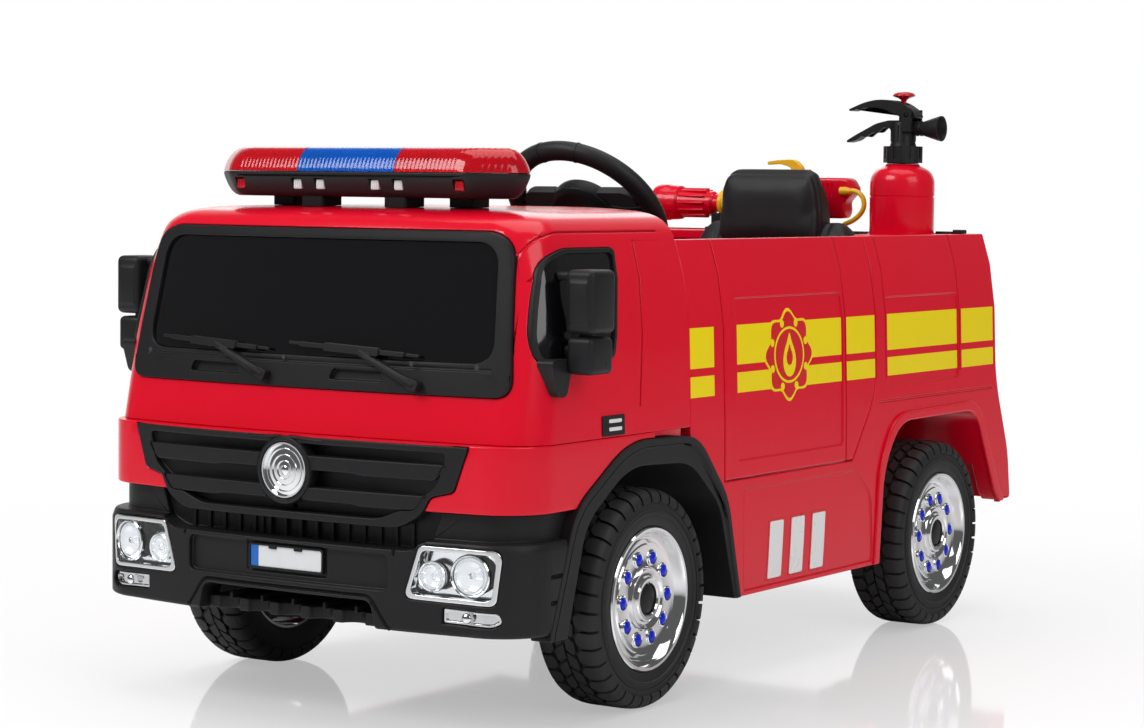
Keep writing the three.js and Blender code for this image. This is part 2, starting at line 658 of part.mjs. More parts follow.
const dashFront = cabRearY - 14;
const shroud = onColumn(rod(30, -320, -95, 16));
const dash = cabSolid(cabWall + gap)
  .intersect(block([-bodyHalf, bodyHalf], [dashFront, cabRearY - 2], [beltZ + 1, roofZ]))
  .subtract(archOpening)
  .add(shroud.intersect(block([-60, 60], [dashFront, 0], [beltZ + 1, 700])))
  .subtract(onColumn(rod(columnRadius + 3, -columnLength, -50, 16)));
const leverPlace = [118, dashFront + 6, 448];
const dashboard = dash.subtract(block(
  [leverPlace[0] - 7, leverPlace[0] + 7],
  [dashFront - 5, cabRearY + 5],
  [leverPlace[2] - 12, leverPlace[2] + 12],
));
node('dashboard', dashboard, black);
const gearLever = together(
  rod(4, -2, 40, 12),
  placed(rod(5, -6.5, 6.5, 12), [0, 0, 0], facingX),
  placed(turned([[0, -9], [7, -6], [9, 0], [7, 6], [0, 9]], 12), [0, 0, 42]),
);
node('gear_lever', placed(gearLever, leverPlace, facingY), black);

// ---------------------------------------------------------------- seat

const seatBack = shelfFront - 6;
const seatFront = seatBack - 262;
const seatProfile = [
  [seatFront, deckZ + gap, 8],
  [seatFront - 4, deckZ + 40, 22],
  [seatBack - 84, deckZ + 32, 30],
  [seatBack - 52, 505, 20],
  [seatBack - 34, 520, 14],
  [seatBack, 512, 14],
  [seatBack, deckZ + gap, 4],
].reverse();
node('seat', alongX(seatProfile, -seatHalf, seatHalf), leather);

const headHalf = 77;
const headProfile = [
  [seatBack - 60, 524, 10],
  [seatBack - 60, 586, 16],
  [seatBack - 40, 594, 12],
  [seatBack - 10, 588, 14],
  [seatBack - 6, 521, 8],
  [seatBack - 33, 518, 2],
].reverse();
node('headrest', alongX(headProfile, -headHalf, headHalf), leather);

// ---------------------------------------------------------------- wheels and rear drive

const facet = Math.cos(Math.PI / 32);
const tyreProfile = [
  [rimRadius + gap, -4],
  [96, 0],
  [wheelRadius - 12, -3],
  [wheelRadius / facet - 1, -12],
  [wheelRadius / facet, -22],
  [wheelRadius / facet, -tyreWidth + 16],
  [wheelRadius - 10, -tyreWidth + 2],
  [rimRadius + gap, -tyreWidth + 6],
];
const boreRadius = axleRadius + play;
const rimProfile = [
  [boreRadius, -12],
  [30, -12],
  [36, -22],
  [62, -24],
  [72, -5],
  [rimRadius, -4],
  [rimRadius, -rimWidth + 4],
  [74, -rimWidth + 4],
  [66, -34],
  [26, -36],
  [22, -rimWidth],
  [boreRadius, -rimWidth],
];
const tyre = turned(tyreProfile, 32);
const rim = turned(rimProfile, 16);

for (const [axleName, axleY] of [['front', frontAxleY], ['rear', rearAxleY]]) {
  for (const [sideName, side] of sides) {
    const wheel = new THREE.Group();
    wheel.position.set(side * wheelOuterX, axleY, axleZ);
    wheel.rotation.set(0, side * quarter, 0);
    const lowered = new THREE.Group();
    lowered.rotation.z = Math.PI / 32;
    wheel.add(lowered);
    truck.add(wheel);
    node(`tyre_${axleName}_${sideName}`, tyre, rubber, lowered);
    node(`rim_${axleName}_${sideName}`, rim, chrome, lowered);
  }
}

node('rear_axle', placed(rod(axleRadius, -wheelOuterX + 13, wheelOuterX - 13, 16), [0, rearAxleY, axleZ], facingX), steel);
for (const [name, side] of sides) {
  const gearbox = together(
    block([deckHalf + 4, deckHalf + 48], [rearAxleY - 40, rearAxleY + 40], [84, 206]),
    placed(rod(19, 0, 48, 16), [deckHalf - 42, rearAxleY, deckTop + 22], facingX),
    placed(rod(30, 0, hubFaceX - deckHalf - 40, 20), [deckHalf + 40, rearAxleY, axleZ], facingX),
  ).subtract(placed(rod(boreRadius, 0, 300, 16), [deckHalf - 5, rearAxleY, axleZ], facingX));
  node(`gearbox_${name}`, handed(gearbox, side), grey);
}

// ---------------------------------------------------------------- mirrors and wipers

const mirrorX = bodyHalf + 2;
const mirrorReach = 35;
const footY = -505;
for (const [name, side] of sides) {
  const housing = alongX([[-504, 373, 8], [-504, 480, 10], [-466, 480, 10], [-466, 373, 8]].reverse(), mirrorX, mirrorX + mirrorReach);
  const notch = block([mirrorX + 6, 400], [-520, -460], [411, 415]);
  const foot = alongX([[footY - 10, 350, 8], [footY - 14, 392, 10], [footY + 14, 392, 10], [footY + 10, 350, 8]].reverse(), bodyHalf - 12, mirrorX + 2);
  const arm = alongX([[-500, 470, 3], [-500, 486, 3], [-484, 486, 3], [-484, 470, 3]].reverse(), bodyHalf - 30, mirrorX + 2);
  const mirror = together(housing, foot, arm).subtract(notch).subtract(cabSolid(-gap));
  const pieces = mirror.decompose().sort((a, b) => b.volume() - a.volume());
  node(`mirror_${name}`, handed(pieces[0], side), black);
}

// Each wiper is a blade and a cranked arm lying on the screen.
const wiperShapes = {
  wiper_right: { blade: [[-207, 396], [-48, 388]], arm: [[-123, 390], [-47, 360]] },
  wiper_left: { blade: [[-22, 396], [146, 388]], arm: [[73, 390], [150, 357]] },
};
const stroke = ([[x0, z0], [x1, z1]], half) => {
  const along = new THREE.Vector2(x1 - x0, z1 - z0).setLength(half);
  return [
    [x0 - along.x - along.y, z0 - along.y + along.x],
    [x0 - along.x + along.y, z0 - along.y - along.x],
    [x1 + along.x + along.y, z1 + along.y - along.x],
    [x1 + along.x - along.y, z1 + along.y + along.x],
  ];
};
const wiperSkin = cabSolid(-12).subtract(cabSolid(-3 - gap));
for (const [name, { blade, arm }] of Object.entries(wiperShapes)) {
  const wiper = frontOnly(stroke(blade, 4)).add(frontOnly(stroke(arm, 4.5)));
  node(name, wiperSkin.intersect(wiper), black);
}

// ---------------------------------------------------------------- light bar

const barZ = 577;
const barHalf = 201;
const barFront = -506;
const barBack = -406;
const barTop = 604;
const barPlan = [
  [barHalf, (barFront + barBack) / 2 + 18, 16],
  [barHalf - 40, barBack, 20],
  [-barHalf + 40, barBack, 20],
  [-barHalf, (barFront + barBack) / 2 + 18, 16],
  [-barHalf, (barFront + barBack) / 2 - 18, 16],
  [-barHalf + 40, barFront, 20],
  [barHalf - 40, barFront, 20],
  [barHalf, (barFront + barBack) / 2 - 18, 16],
];
const barLens = alongZ(barPlan, barZ + gap, barTop)
  .intersect(alongX([[barFront, barZ], [barFront + 12, barTop, 8], [barBack - 12, barTop, 8], [barBack, barZ]].reverse(), -300, 300))
  .intersect(alongY([[barHalf, barZ], [barHalf - 22, barTop, 10], [-barHalf + 22, barTop, 10], [-barHalf, barZ]], -600, -300));
const blueHalf = 65;
node('lightbar_blue_lens', barLens.intersect(block([-blueHalf, blueHalf], [-600, -300], [0, 700])), blueLens);
for (const [name, side] of sides) {
  node(`lightbar_red_lens_${name}`, handed(barLens.intersect(block([blueHalf + gap, 300], [-600, -300], [0, 700])), side), redLens);
}
const barBottom = 550;
let barBase = alongZ(barPlan, barBottom, barZ)
  .intersect(alongX([[barFront + 10, barBottom, 4], [barFront, barZ], [barBack, barZ], [barBack - 10, barBottom, 4]], -300, 300))
  .intersect(alongY([[barHalf - 18, barBottom, 6], [barHalf, barZ], [-barHalf, barZ], [-barHalf + 18, barBottom, 6]], -600, -300));
for (const x of [-110, 110]) barBase = barBase.add(block([x - 38, x + 38], [barFront + 20, barBack - 20], [roofZ - 12, barBottom + 2]));
node('lightbar_base', barBase.subtract(cabSolid(-gap)), black);

// ---------------------------------------------------------------- extinguisher

const bottle = new THREE.Group();
bottle.position.set(bottleX, bottleY, 0);
truck.add(bottle);
const bottleTop = 599;
node('extinguisher_bottle', turned([
  [0, wellFloor + gap],
  [bottleRadius - 4, wellFloor + gap],
  [bottleRadius, wellFloor + 6],
  [bottleRadius, 560],
  [bottleRadius - 3, 578],
  [bottleRadius - 14, 592],
  [22, bottleTop],
  [0, bottleTop],
], 24), red, bottle);

const valvePivot = [12, 0, 664];
const lowerGrip = [[-4, 622], [-4, 640, 6], [-40, 642, 6], [-80, 628, 3], [-79, 622, 3], [-50, 628, 6], [-16, 622, 8]].reverse();
const valve = together(
  turned([[0, bottleTop + gap], [24, bottleTop + gap], [27, 604], [27, 619], [20, 623], [0, 623]], 20),
  rod(15, 620, 654, 16),
  rod(6, 650, 664, 12),
  placed(turned([[0, 0], [9, 0], [9, 30], [16, 36], [16, 55], [11, 55], [11, 38], [0, 38]], 16), [0, 0, 646], facingX),
  alongY(lowerGrip, -9, 9),
  block([6, 18], [-18, -13.6], [644, 670]),
  block([6, 18], [13.6, 18], [644, 670]),
  block([6, 18], [-18, 18], [644, 650]),
)
  .subtract(rod(3 + play, 656, 680, 12))
  .subtract(placed(rod(2.5 + play, -20, 20, 12), valvePivot, facingY));
node('extinguisher_valve', valve, black, bottle);

const lever = together(
  placed(rod(5, -13, 13, 12), valvePivot, facingY),
  placed(rod(2.5, -18, 18, 12), valvePivot, facingY),
  alongY([[16, 662], [14, 674, 4], [-20, 682, 10], [-50, 683, 10], [-76, 670, 3], [-73, 666, 3], [-48, 675, 8], [-14, 670, 6]], -13, 13),
).subtract(placed(rod(8.5, 640, 700, 12), [-1, 0, 0]));
node('extinguisher_lever', lever, black, bottle);
node('extinguisher_knob', turned([[0, 660], [3, 660], [3, 685], [13, 686], [15, 689], [11, 694], [0, 695]], 16), red, bottle);

// ---------------------------------------------------------------- water gun and its hose

const gun = new THREE.Group();
gun.position.set(0, gunY, gunZ);
truck.add(gun);
const gunAxis = (made) => placed(made, [0, 0, 0], [0, -quarter, 0]); // Z becomes -X
const gunProfile = [
  [0, -88], [16, -88], [19, -80], [19, -30], [13, -22], [11, 40], [16, 50], [19, 60], [19, 140], [24, 160], [25, 224], [20, 224], [17, 200], [0, 200],
];
const grip = alongY([[95, 22, 8], [84, 37, 6], [40, 34], [40, -4], [58, -18, 4], [80, -18, 4], [82, 0, 10]], -11, 11);
const gunBody = together(
  gunAxis(turned(gunProfile, 20)),
  grip,
  block([-4, 16], [-10, -6], [8, 48]),
  block([-4, 16], [6, 10], [8, 48]),
  block([76, 90], [-20, -8], [13, 25]),
)
  .subtract(placed(rod(2.5 + play, -20, 20, 12), [6, 0, 42], facingY))
  .subtract(block([-128, -112], [-15, 15], [-40, -12 + gap]))
  .subtract(block([22, 38], [-15, 15], [-40, -12 + gap]));
node('gun_body', gunBody, red, gun);
const gunLever = together(
  placed(rod(5, -5.5, 5.5, 12), [6, 0, 42], facingY),
  placed(rod(2.5, -10, 10, 12), [6, 0, 42], facingY),
  alongY([[10, 38], [9, 50, 4], [-2, 62, 6], [-44, 58, 4], [-44, 53, 3], [-8, 50, 6], [2, 38]], -5.5, 5.5),
);
node('gun_lever', gunLever, yellow, gun);

const hoseRadius = 3.4;
const hoseRoute = [
  [90.3, -15.5, 19], [94.5, -15.5, 19.4], [99, -15.6, 18.8], [103.4, -15.7, 17], [107.6, -16, 13.9], [110.8, -16.2, 9.4],
  [112.4, -16.4, 3.8], [112.3, -16.4, -1.8], [110.5, -16.3, -6.8], [107, -16.1, -11.7], [102.5, -15.8, -16],
  [97.5, -15.5, -19.5], [92, -15.2, -22.4], [86.8, -14.7, -24.4], [81.8, -14.2, -26.7], [77, -14, -29.4], [72.4, -14, -32.6],
];
const hosePath = new THREE.CatmullRomCurve3(hoseRoute.map(([x, y, z]) => new THREE.Vector3(x, gunY + y, gunZ + z)));
const hoseSection = new THREE.Shape().absarc(0, 0, hoseRadius, 0, Math.PI * 2);
node('gun_hose', solid(new THREE.ExtrudeGeometry(hoseSection, { steps: 28, extrudePath: hosePath, curveSegments: 2 })), yellow);

// The origin is the middle of the vehicle, on the ground.
const vehicle = new THREE.Group();
vehicle.position.set(0, -(noseY + tailY) / 2, wheelRadius - axleZ);
vehicle.add(truck);
export default vehicle;
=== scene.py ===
import json
import math

import bmesh
import bpy
from mathutils import Matrix, Vector

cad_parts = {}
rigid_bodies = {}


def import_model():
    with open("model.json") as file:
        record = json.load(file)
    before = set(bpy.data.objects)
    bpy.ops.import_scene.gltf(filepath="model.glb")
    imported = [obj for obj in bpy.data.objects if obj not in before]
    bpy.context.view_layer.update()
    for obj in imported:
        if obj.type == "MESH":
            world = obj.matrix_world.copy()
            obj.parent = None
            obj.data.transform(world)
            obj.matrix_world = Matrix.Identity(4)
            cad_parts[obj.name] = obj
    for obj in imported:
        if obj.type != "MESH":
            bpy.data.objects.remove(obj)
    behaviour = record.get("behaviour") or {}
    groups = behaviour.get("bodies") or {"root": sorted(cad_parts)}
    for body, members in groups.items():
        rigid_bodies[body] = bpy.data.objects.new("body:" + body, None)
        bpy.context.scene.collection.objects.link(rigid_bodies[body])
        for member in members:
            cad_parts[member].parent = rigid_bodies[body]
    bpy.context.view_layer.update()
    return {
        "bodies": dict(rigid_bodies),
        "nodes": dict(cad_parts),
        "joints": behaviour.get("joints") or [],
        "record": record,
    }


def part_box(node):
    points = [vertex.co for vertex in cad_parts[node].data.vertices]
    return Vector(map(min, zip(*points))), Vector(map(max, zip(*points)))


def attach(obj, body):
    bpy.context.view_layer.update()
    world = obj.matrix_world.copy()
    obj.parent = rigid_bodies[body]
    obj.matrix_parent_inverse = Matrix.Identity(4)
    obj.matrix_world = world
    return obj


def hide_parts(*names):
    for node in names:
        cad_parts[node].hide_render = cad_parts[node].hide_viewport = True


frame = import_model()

mm = 0.001  # shapes are drawn in millimetres and scaled once, when a piece is finished
scene = bpy.context.scene


def boxMm(node):
    low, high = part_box(node)
    return low / mm, high / mm


def middleOf(node):
    low, high = boxMm(node)
    return (low + high) / 2


# What the other pieces are placed from, all read from the frame.
boxHigh = boxMm("box_body")[1]
cabLow, cabHigh = boxMm("cab_shell")
bodyHalf = boxHigh.x
tailY = boxHigh.y
bodyTop = boxMm("door_left")[1].z
beltZ = cabLow.z
roofZ = cabHigh.z
noseY = boxMm("front_bumper")[0].y
axleZ = middleOf("tyre_front_left").z
frontAxleY = middleOf("tyre_front_left").y
rearAxleY = middleOf("tyre_rear_left").y
wheelRadius = axleZ
sides = (("left", 1), ("right", -1))

# ---- camera

cameraSpec = {
    "place": (1.8110, -2.8395, 0.5652),
    "azimuth": 33.03,
    "elevation": 3.725,
    "roll": 0.689,
    "lens": 86.3,
    "sensor": 36,
}


def makeCamera(spec):
    azimuth, elevation, roll = (math.radians(spec[key]) for key in ("azimuth", "elevation", "roll"))
    ahead = Vector((-math.sin(azimuth) * math.cos(elevation), math.cos(azimuth) * math.cos(elevation),
                    -math.sin(elevation)))
    right = Vector((math.cos(azimuth), math.sin(azimuth), 0))
    up = right.cross(ahead)
    rolledRight = right * math.cos(roll) + up * math.sin(roll)
    rolledUp = up * math.cos(roll) - right * math.sin(roll)
    turn = Matrix((rolledRight, rolledUp, -ahead)).transposed()
    data = bpy.data.cameras.new("camera")
    data.lens = spec["lens"]
    data.sensor_width = spec["sensor"]
    data.clip_end = 60
    camera = bpy.data.objects.new("camera", data)
    camera.matrix_world = Matrix.Translation(spec["place"]) @ turn.to_4x4()
    scene.collection.objects.link(camera)
    scene.camera = camera


makeCamera(cameraSpec)
print("camera placed")

# ---- material helpers


def addNode(tree, kind, **settings):
    node = tree.nodes.new(kind)
    for key, value in settings.items():
        if key in node.inputs:
            node.inputs[key].default_value = value
        else:
            setattr(node, key, value)
    return node


def wire(tree, source, output, target, socket):
    tree.links.new(source.outputs[output], target.inputs[socket])


def newGroup(name, inputs, outputs):
    group = bpy.data.node_groups.new(name, "ShaderNodeTree")
    for label, kind, value in inputs:
        socket = group.interface.new_socket(label, in_out="INPUT", socket_type=kind)
        socket.default_value = value
    for label, kind in outputs:
        group.interface.new_socket(label, in_out="OUTPUT", socket_type=kind)
    return group, group.nodes.new("NodeGroupInput"), group.nodes.new("NodeGroupOutput")


def grainGroup():
    group, given, result = newGroup(
        "moulded grain",
        [("Scale", "NodeSocketFloat", 900.0), ("Ripple", "NodeSocketFloat", 0.3)],
        [("Height", "NodeSocketFloat")],
    )
    place = addNode(group, "ShaderNodeTexCoord")
    fine = addNode(group, "ShaderNodeTexNoise", Detail=3.0, Roughness=0.6)
    broad = addNode(group, "ShaderNodeTexNoise", Scale=14.0, Detail=2.0)
    mixed = addNode(group, "ShaderNodeMix", data_type="FLOAT")
    wire(group, place, "Object", fine, "Vector")
    wire(group, place, "Object", broad, "Vector")
    wire(group, given, "Scale", fine, "Scale")
    wire(group, given, "Ripple", mixed, "Factor")
    wire(group, fine, "Fac", mixed, "A")
    wire(group, broad, "Fac", mixed, "B")
    wire(group, mixed, "Result", result, "Height")
    return group


def finishGroup():
    group, given, result = newGroup(
        "handled finish",
        [
            ("Color", "NodeSocketColor", (0.5, 0.5, 0.5, 1)),
            ("Dust Color", "NodeSocketColor", (0.6, 0.58, 0.55, 1)),
            ("Dust", "NodeSocketFloat", 0.04),
            ("Shade", "NodeSocketFloat", 0.06),
            ("Roughness", "NodeSocketFloat", 0.3),
            ("Spread", "NodeSocketFloat", 0.08),
        ],
        [("Color", "NodeSocketColor"), ("Roughness", "NodeSocketFloat")],
    )
    place = addNode(group, "ShaderNodeTexCoord")
    cloud = addNode(group, "ShaderNodeTexNoise", Scale=5.0, Detail=3.0)
    smear = addNode(group, "ShaderNodeTexNoise", Scale=38.0, Detail=5.0, Roughness=0.65, Distortion=0.8)
    facing = addNode(group, "ShaderNodeNewGeometry")
    split = addNode(group, "ShaderNodeSeparateXYZ")
    upward = addNode(group, "ShaderNodeMapRange")
    upward.inputs["From Min"].default_value = 0.2
    dusty = addNode(group, "ShaderNodeMath", operation="MULTIPLY")
    dustAmount = addNode(group, "ShaderNodeMath", operation="MULTIPLY")
    darker = addNode(group, "ShaderNodeMix", data_type="RGBA", blend_type="MULTIPLY")
    shadeAmount = addNode(group, "ShaderNodeMath", operation="MULTIPLY")
    withDust = addNode(group, "ShaderNodeMix", data_type="RGBA")
    centred = addNode(group, "ShaderNodeMath", operation="SUBTRACT")
    centred.inputs[1].default_value = 0.5
    spread = addNode(group, "ShaderNodeMath", operation="MULTIPLY")
    rough = addNode(group, "ShaderNodeMath", operation="ADD")
    rough.use_clamp = True
    for texture in (cloud, smear):
        wire(group, place, "Object", texture, "Vector")
    wire(group, facing, "Normal", split, "Vector")
    wire(group, split, "Z", upward, "Value")
    wire(group, upward, "Result", dusty, 0)
    wire(group, smear, "Fac", dusty, 1)
    wire(group, dusty, "Value", dustAmount, 0)
    wire(group, given, "Dust", dustAmount, 1)
    wire(group, cloud, "Fac", shadeAmount, 0)
    wire(group, given, "Shade", shadeAmount, 1)
    wire(group, shadeAmount, "Value", darker, "Factor")
    group.links.new(given.outputs["Color"], darker.inputs[6])
    darker.inputs[7].default_value = (0.35, 0.35, 0.35, 1)
    wire(group, dustAmount, "Value", withDust, "Factor")
    group.links.new(darker.outputs[2], withDust.inputs[6])
    group.links.new(given.outputs["Dust Color"], withDust.inputs[7])
    group.links.new(withDust.outputs[2], result.inputs["Color"])
    wire(group, smear, "Fac", centred, 0)
    wire(group, centred, "Value", spread, 0)
    wire(group, given, "Spread", spread, 1)
    wire(group, spread, "Value", rough, 0)
    wire(group, given, "Roughness", rough, 1)
    wire(group, rough, "Value", result, "Roughness")
    return group


def scratchGroup():
    group, given, result = newGroup(
        "hairline scratches",
        [("Depth", "NodeSocketFloat", 0.5)],
        [("Height", "NodeSocketFloat")],
    )
    place = addNode(group, "ShaderNodeTexCoord")
    heights = []
    for angle, stretch in ((0.5, 7.0), (-0.9, 5.0)):
        turn = addNode(group, "ShaderNodeMapping")
        turn.inputs["Rotation"].default_value = (angle, angle * 0.7, angle)
        turn.inputs["Scale"].default_value = (1.0, stretch, 1.0)
        lines = addNode(group, "ShaderNodeTexWave", Scale=26.0, Distortion=9.0, Detail=3.0)
        narrow = addNode(group, "ShaderNodeMapRange")
        narrow.inputs["From Min"].default_value = 0.985
        wire(group, place, "Object", turn, "Vector")
        wire(group, turn, "Vector", lines, "Vector")
        wire(group, lines, "Fac", narrow, "Value")
        heights.append(narrow)
    both = addNode(group, "ShaderNodeMath", operation="ADD")
    scaled = addNode(group, "ShaderNodeMath", operation="MULTIPLY")
    wire(group, heights[0], "Result", both, 0)
    wire(group, heights[1], "Result", both, 1)
    wire(group, both, "Value", scaled, 0)
    wire(group, given, "Depth", scaled, 1)
    wire(group, scaled, "Value", result, "Height")
    return group


grain = grainGroup()
handled = finishGroup()
scratches = scratchGroup()


def newMaterial(name):
    material = bpy.data.materials.new(name)
    material.use_nodes = True
    tree = material.node_tree
    return material, tree, tree.nodes["Principled BSDF"]


def moulded(name, color, roughness, spread=0.08, dust=0.03, shade=0.06, grainScale=900.0, ripple=0.3,
            bump=0.05, scratch=0.0, **plain):
    material, tree, shader = newMaterial(name)
    surface = addNode(tree, "ShaderNodeGroup", node_tree=handled)
    surface.inputs["Color"].default_value = (*color, 1)
    surface.inputs["Roughness"].default_value = roughness
    surface.inputs["Spread"].default_value = spread
    surface.inputs["Dust"].default_value = dust
    surface.inputs["Shade"].default_value = shade
    wire(tree, surface, "Color", shader, "Base Color")
    wire(tree, surface, "Roughness", shader, "Roughness")
    texture = addNode(tree, "ShaderNodeGroup", node_tree=grain)
    texture.inputs["Scale"].default_value = grainScale
    texture.inputs["Ripple"].default_value = ripple
    relief = addNode(tree, "ShaderNodeBump", Strength=bump, Distance=0.0006)
    wire(tree, texture, "Height", relief, "Height")
    if scratch:
        lines = addNode(tree, "ShaderNodeGroup", node_tree=scratches)
        lines.inputs["Depth"].default_value = scratch
        second = addNode(tree, "ShaderNodeBump", Strength=0.08, Distance=-0.0002)
        wire(tree, lines, "Height", second, "Height")
        wire(tree, relief, "Normal", second, "Normal")
        relief = second
    wire(tree, relief, "Normal", shader, "Normal")
    for key, value in plain.items():
        shader.inputs[key].default_value = value
    return material


def coat(weight, roughness):
    return {"Coat Weight": weight, "Coat Roughness": roughness}


def ribbedLens(name, color, roughness=0.1, ribs=62.0):
    material, tree, shader = newMaterial(name)
    place = addNode(tree, "ShaderNodeTexCoord")
    wave = addNode(tree, "ShaderNodeTexWave", Scale=ribs, bands_direction="X")
    relief = addNode(tree, "ShaderNodeBump", Strength=0.14, Distance=0.0008)
    wire(tree, place, "Object", wave, "Vector")
    wire(tree, wave, "Fac", relief, "Height")
    wire(tree, relief, "Normal", shader, "Normal")
    cloud = addNode(tree, "ShaderNodeTexNoise", Scale=30.0)
    shade = addNode(tree, "ShaderNodeMix", data_type="RGBA")
    shade.inputs[6].default_value = (*color, 1)
    shade.inputs[7].default_value = (*(value * 0.75 for value in color), 1)
    wire(tree, place, "Object", cloud, "Vector")
    wire(tree, cloud, "Fac", shade, "Factor")
    tree.links.new(shade.outputs[2], shader.inputs["Base Color"])
    shader.inputs["Roughness"].default_value = roughness
    shader.inputs["Transmission Weight"].default_value = 0.55
    shader.inputs["IOR"].default_value = 1.49
    shader.inputs["Coat Weight"].default_value = 0.2
    shader.inputs["Coat Roughness"].default_value = 0.04
    return material


def clearPlastic(name, tint, weight=1.0):
    material, tree, shader = newMaterial(name)
    place = addNode(tree, "ShaderNodeTexCoord")
    cloud = addNode(tree, "ShaderNodeTexNoise", Scale=60.0, Detail=4.0)
    spread = addNode(tree, "ShaderNodeMapRange")
    spread.inputs["To Min"].default_value = 0.01
    spread.inputs["To Max"].default_value = 0.06
    wire(tree, place, "Object", cloud, "Vector")
    wire(tree, cloud, "Fac", spread, "Value")
    wire(tree, spread, "Result", shader, "Roughness")
    shader.inputs["Base Color"].default_value = (*tint, 1)
    shader.inputs["Transmission Weight"].default_value = weight
    shader.inputs["IOR"].default_value = 1.35
    return material


def leather(name, color):
    material, tree, shader = newMaterial(name)
    surface = addNode(tree, "ShaderNodeGroup", node_tree=handled)
    surface.inputs["Color"].default_value = (*color, 1)
    surface.inputs["Roughness"].default_value = 0.46
    surface.inputs["Spread"].default_value = 0.12
    surface.inputs["Dust"].default_value = 0.02
    place = addNode(tree, "ShaderNodeTexCoord")
    cells = addNode(tree, "ShaderNodeTexVoronoi", feature="DISTANCE_TO_EDGE", Scale=620.0)
    pebble = addNode(tree, "ShaderNodeMapRange")
    pebble.inputs["From Max"].default_value = 0.3
    creases = addNode(tree, "ShaderNodeTexNoise", Scale=22.0, Detail=5.0, Distortion=1.2)
    relief = addNode(tree, "ShaderNodeBump", Strength=0.22, Distance=0.0004)
    folds = addNode(tree, "ShaderNodeBump", Strength=0.25, Distance=0.002)
    wire(tree, place, "Object", cells, "Vector")
    wire(tree, place, "Object", creases, "Vector")
    wire(tree, cells, "Distance", pebble, "Value")
    wire(tree, pebble, "Result", relief, "Height")
    wire(tree, creases, "Fac", folds, "Height")
    wire(tree, relief, "Normal", folds, "Normal")
    wire(tree, surface, "Color", shader, "Base Color")
    wire(tree, surface, "Roughness", shader, "Roughness")
    wire(tree, folds, "Normal", shader, "Normal")
    shader.inputs["Specular IOR Level"].default_value = 0.4
    return material


def chrome(name, color, roughness=0.07, spread=0.05, ripple=0.5, bump=0.015):
    return moulded(name, color, roughness, spread, 0.0, 0.02, 120.0, ripple, bump, Metallic=1.0)


finishes = {
    "red": moulded("red plastic", (0.74, 0.0015, 0.02), 0.2, 0.07, 0.004, 0.05, 700.0, 0.6, 0.03, 0.2,
                   **coat(0.1, 0.05), **{"Specular IOR Level": 0.4}),
    "black": moulded("black plastic", (0.0105, 0.0105, 0.012), 0.46, 0.1, 0.01, 0.1, 1700.0, 0.15, 0.2,
                     **{"Specular IOR Level": 0.32}),
    "grey": moulded("dark plastic", (0.035, 0.036, 0.04), 0.6, 0.1, 0.05, 0.1, 1300.0, 0.2, 0.2),
    "glass": moulded("window black", (0.004, 0.004, 0.005), 0.07, 0.03, 0.006, 0.0, 60.0, 0.8, 0.01, 0.2,
                     **coat(0.6, 0.03)),
    "chrome": chrome("chrome trim", (0.9, 0.91, 0.92)),
    "silver": chrome("lamp silver", (0.88, 0.89, 0.9), 0.12, 0.06),
    "clear": clearPlastic("clear lens", (0.97, 0.985, 1.0)),
    "plate": moulded("plate white", (0.78, 0.79, 0.80), 0.35, 0.08, 0.03, 0.04),
    "steel": chrome("axle steel", (0.42, 0.43, 0.45), 0.34, 0.14, 0.3, 0.06),
    "button": moulded("button red", (0.50, 0.003, 0.014), 0.25, 0.08, 0.02, 0.05),
    "leather": leather("seat cover", (0.013, 0.013, 0.0145)),
    "rubber": moulded("tyre rubber", (0.014, 0.014, 0.0155), 0.6, 0.16, 0.1, 0.12, 420.0, 0.3, 0.3),
    "blueLens": ribbedLens("blue lens", (0.0, 0.17, 0.78)),
    "redLens": ribbedLens("red lens", (0.86, 0.004, 0.02)),
    "jewel": clearPlastic("blue jewel", (0.01, 0.03, 0.75), 0.35),
    "yellow": moulded("yellow plastic", (0.90, 0.50, 0.008), 0.3, 0.08, 0.02, 0.05),
    "hose": moulded("yellow hose", (0.93, 0.55, 0.01), 0.34, 0.1, 0.02, 0.05, 500.0, 0.3, 0.08),
    "stripe": moulded("yellow film", (0.93, 0.72, 0.0), 0.22, 0.06, 0.015, 0.03, 300.0, 0.7, 0.02, 0.2),
    "white": moulded("white film", (0.83, 0.83, 0.83), 0.28, 0.06, 0.015, 0.03),
    "blueFilm": moulded("blue film", (0.01, 0.14, 0.52), 0.3, 0.06, 0.015, 0.03),
    "redFilm": moulded("red film", (0.66, 0.004, 0.012), 0.28, 0.06, 0.015, 0.03),
}
slotOf = {
    "red": "red_plastic", "black": "black_plastic", "grey": "dark_plastic", "glass": "window_black",
    "chrome": "chrome_trim", "silver": "lamp_silver", "clear": "clear_lens", "plate": "plate_white",
    "steel": "axle_steel", "button": "red_button", "leather": "seat_cover", "rubber": "tyre_rubber",
    "blueLens": "blue_lens", "redLens": "red_lens", "jewel": "blue_lens", "yellow": "yellow_plastic",
    "hose": "yellow_hose", "stripe": "yellow_plastic", "white": "plate_white", "blueFilm": "blue_lens",
    "redFilm": "red_plastic",
}
print("finishes made:", len(finishes))

# ---- modelling helpers, in millimetres


def onAxis(axis, a, b, t):
    return {"x": (t, a, b), "y": (a, t, b), "z": (a, b, t)}[axis]


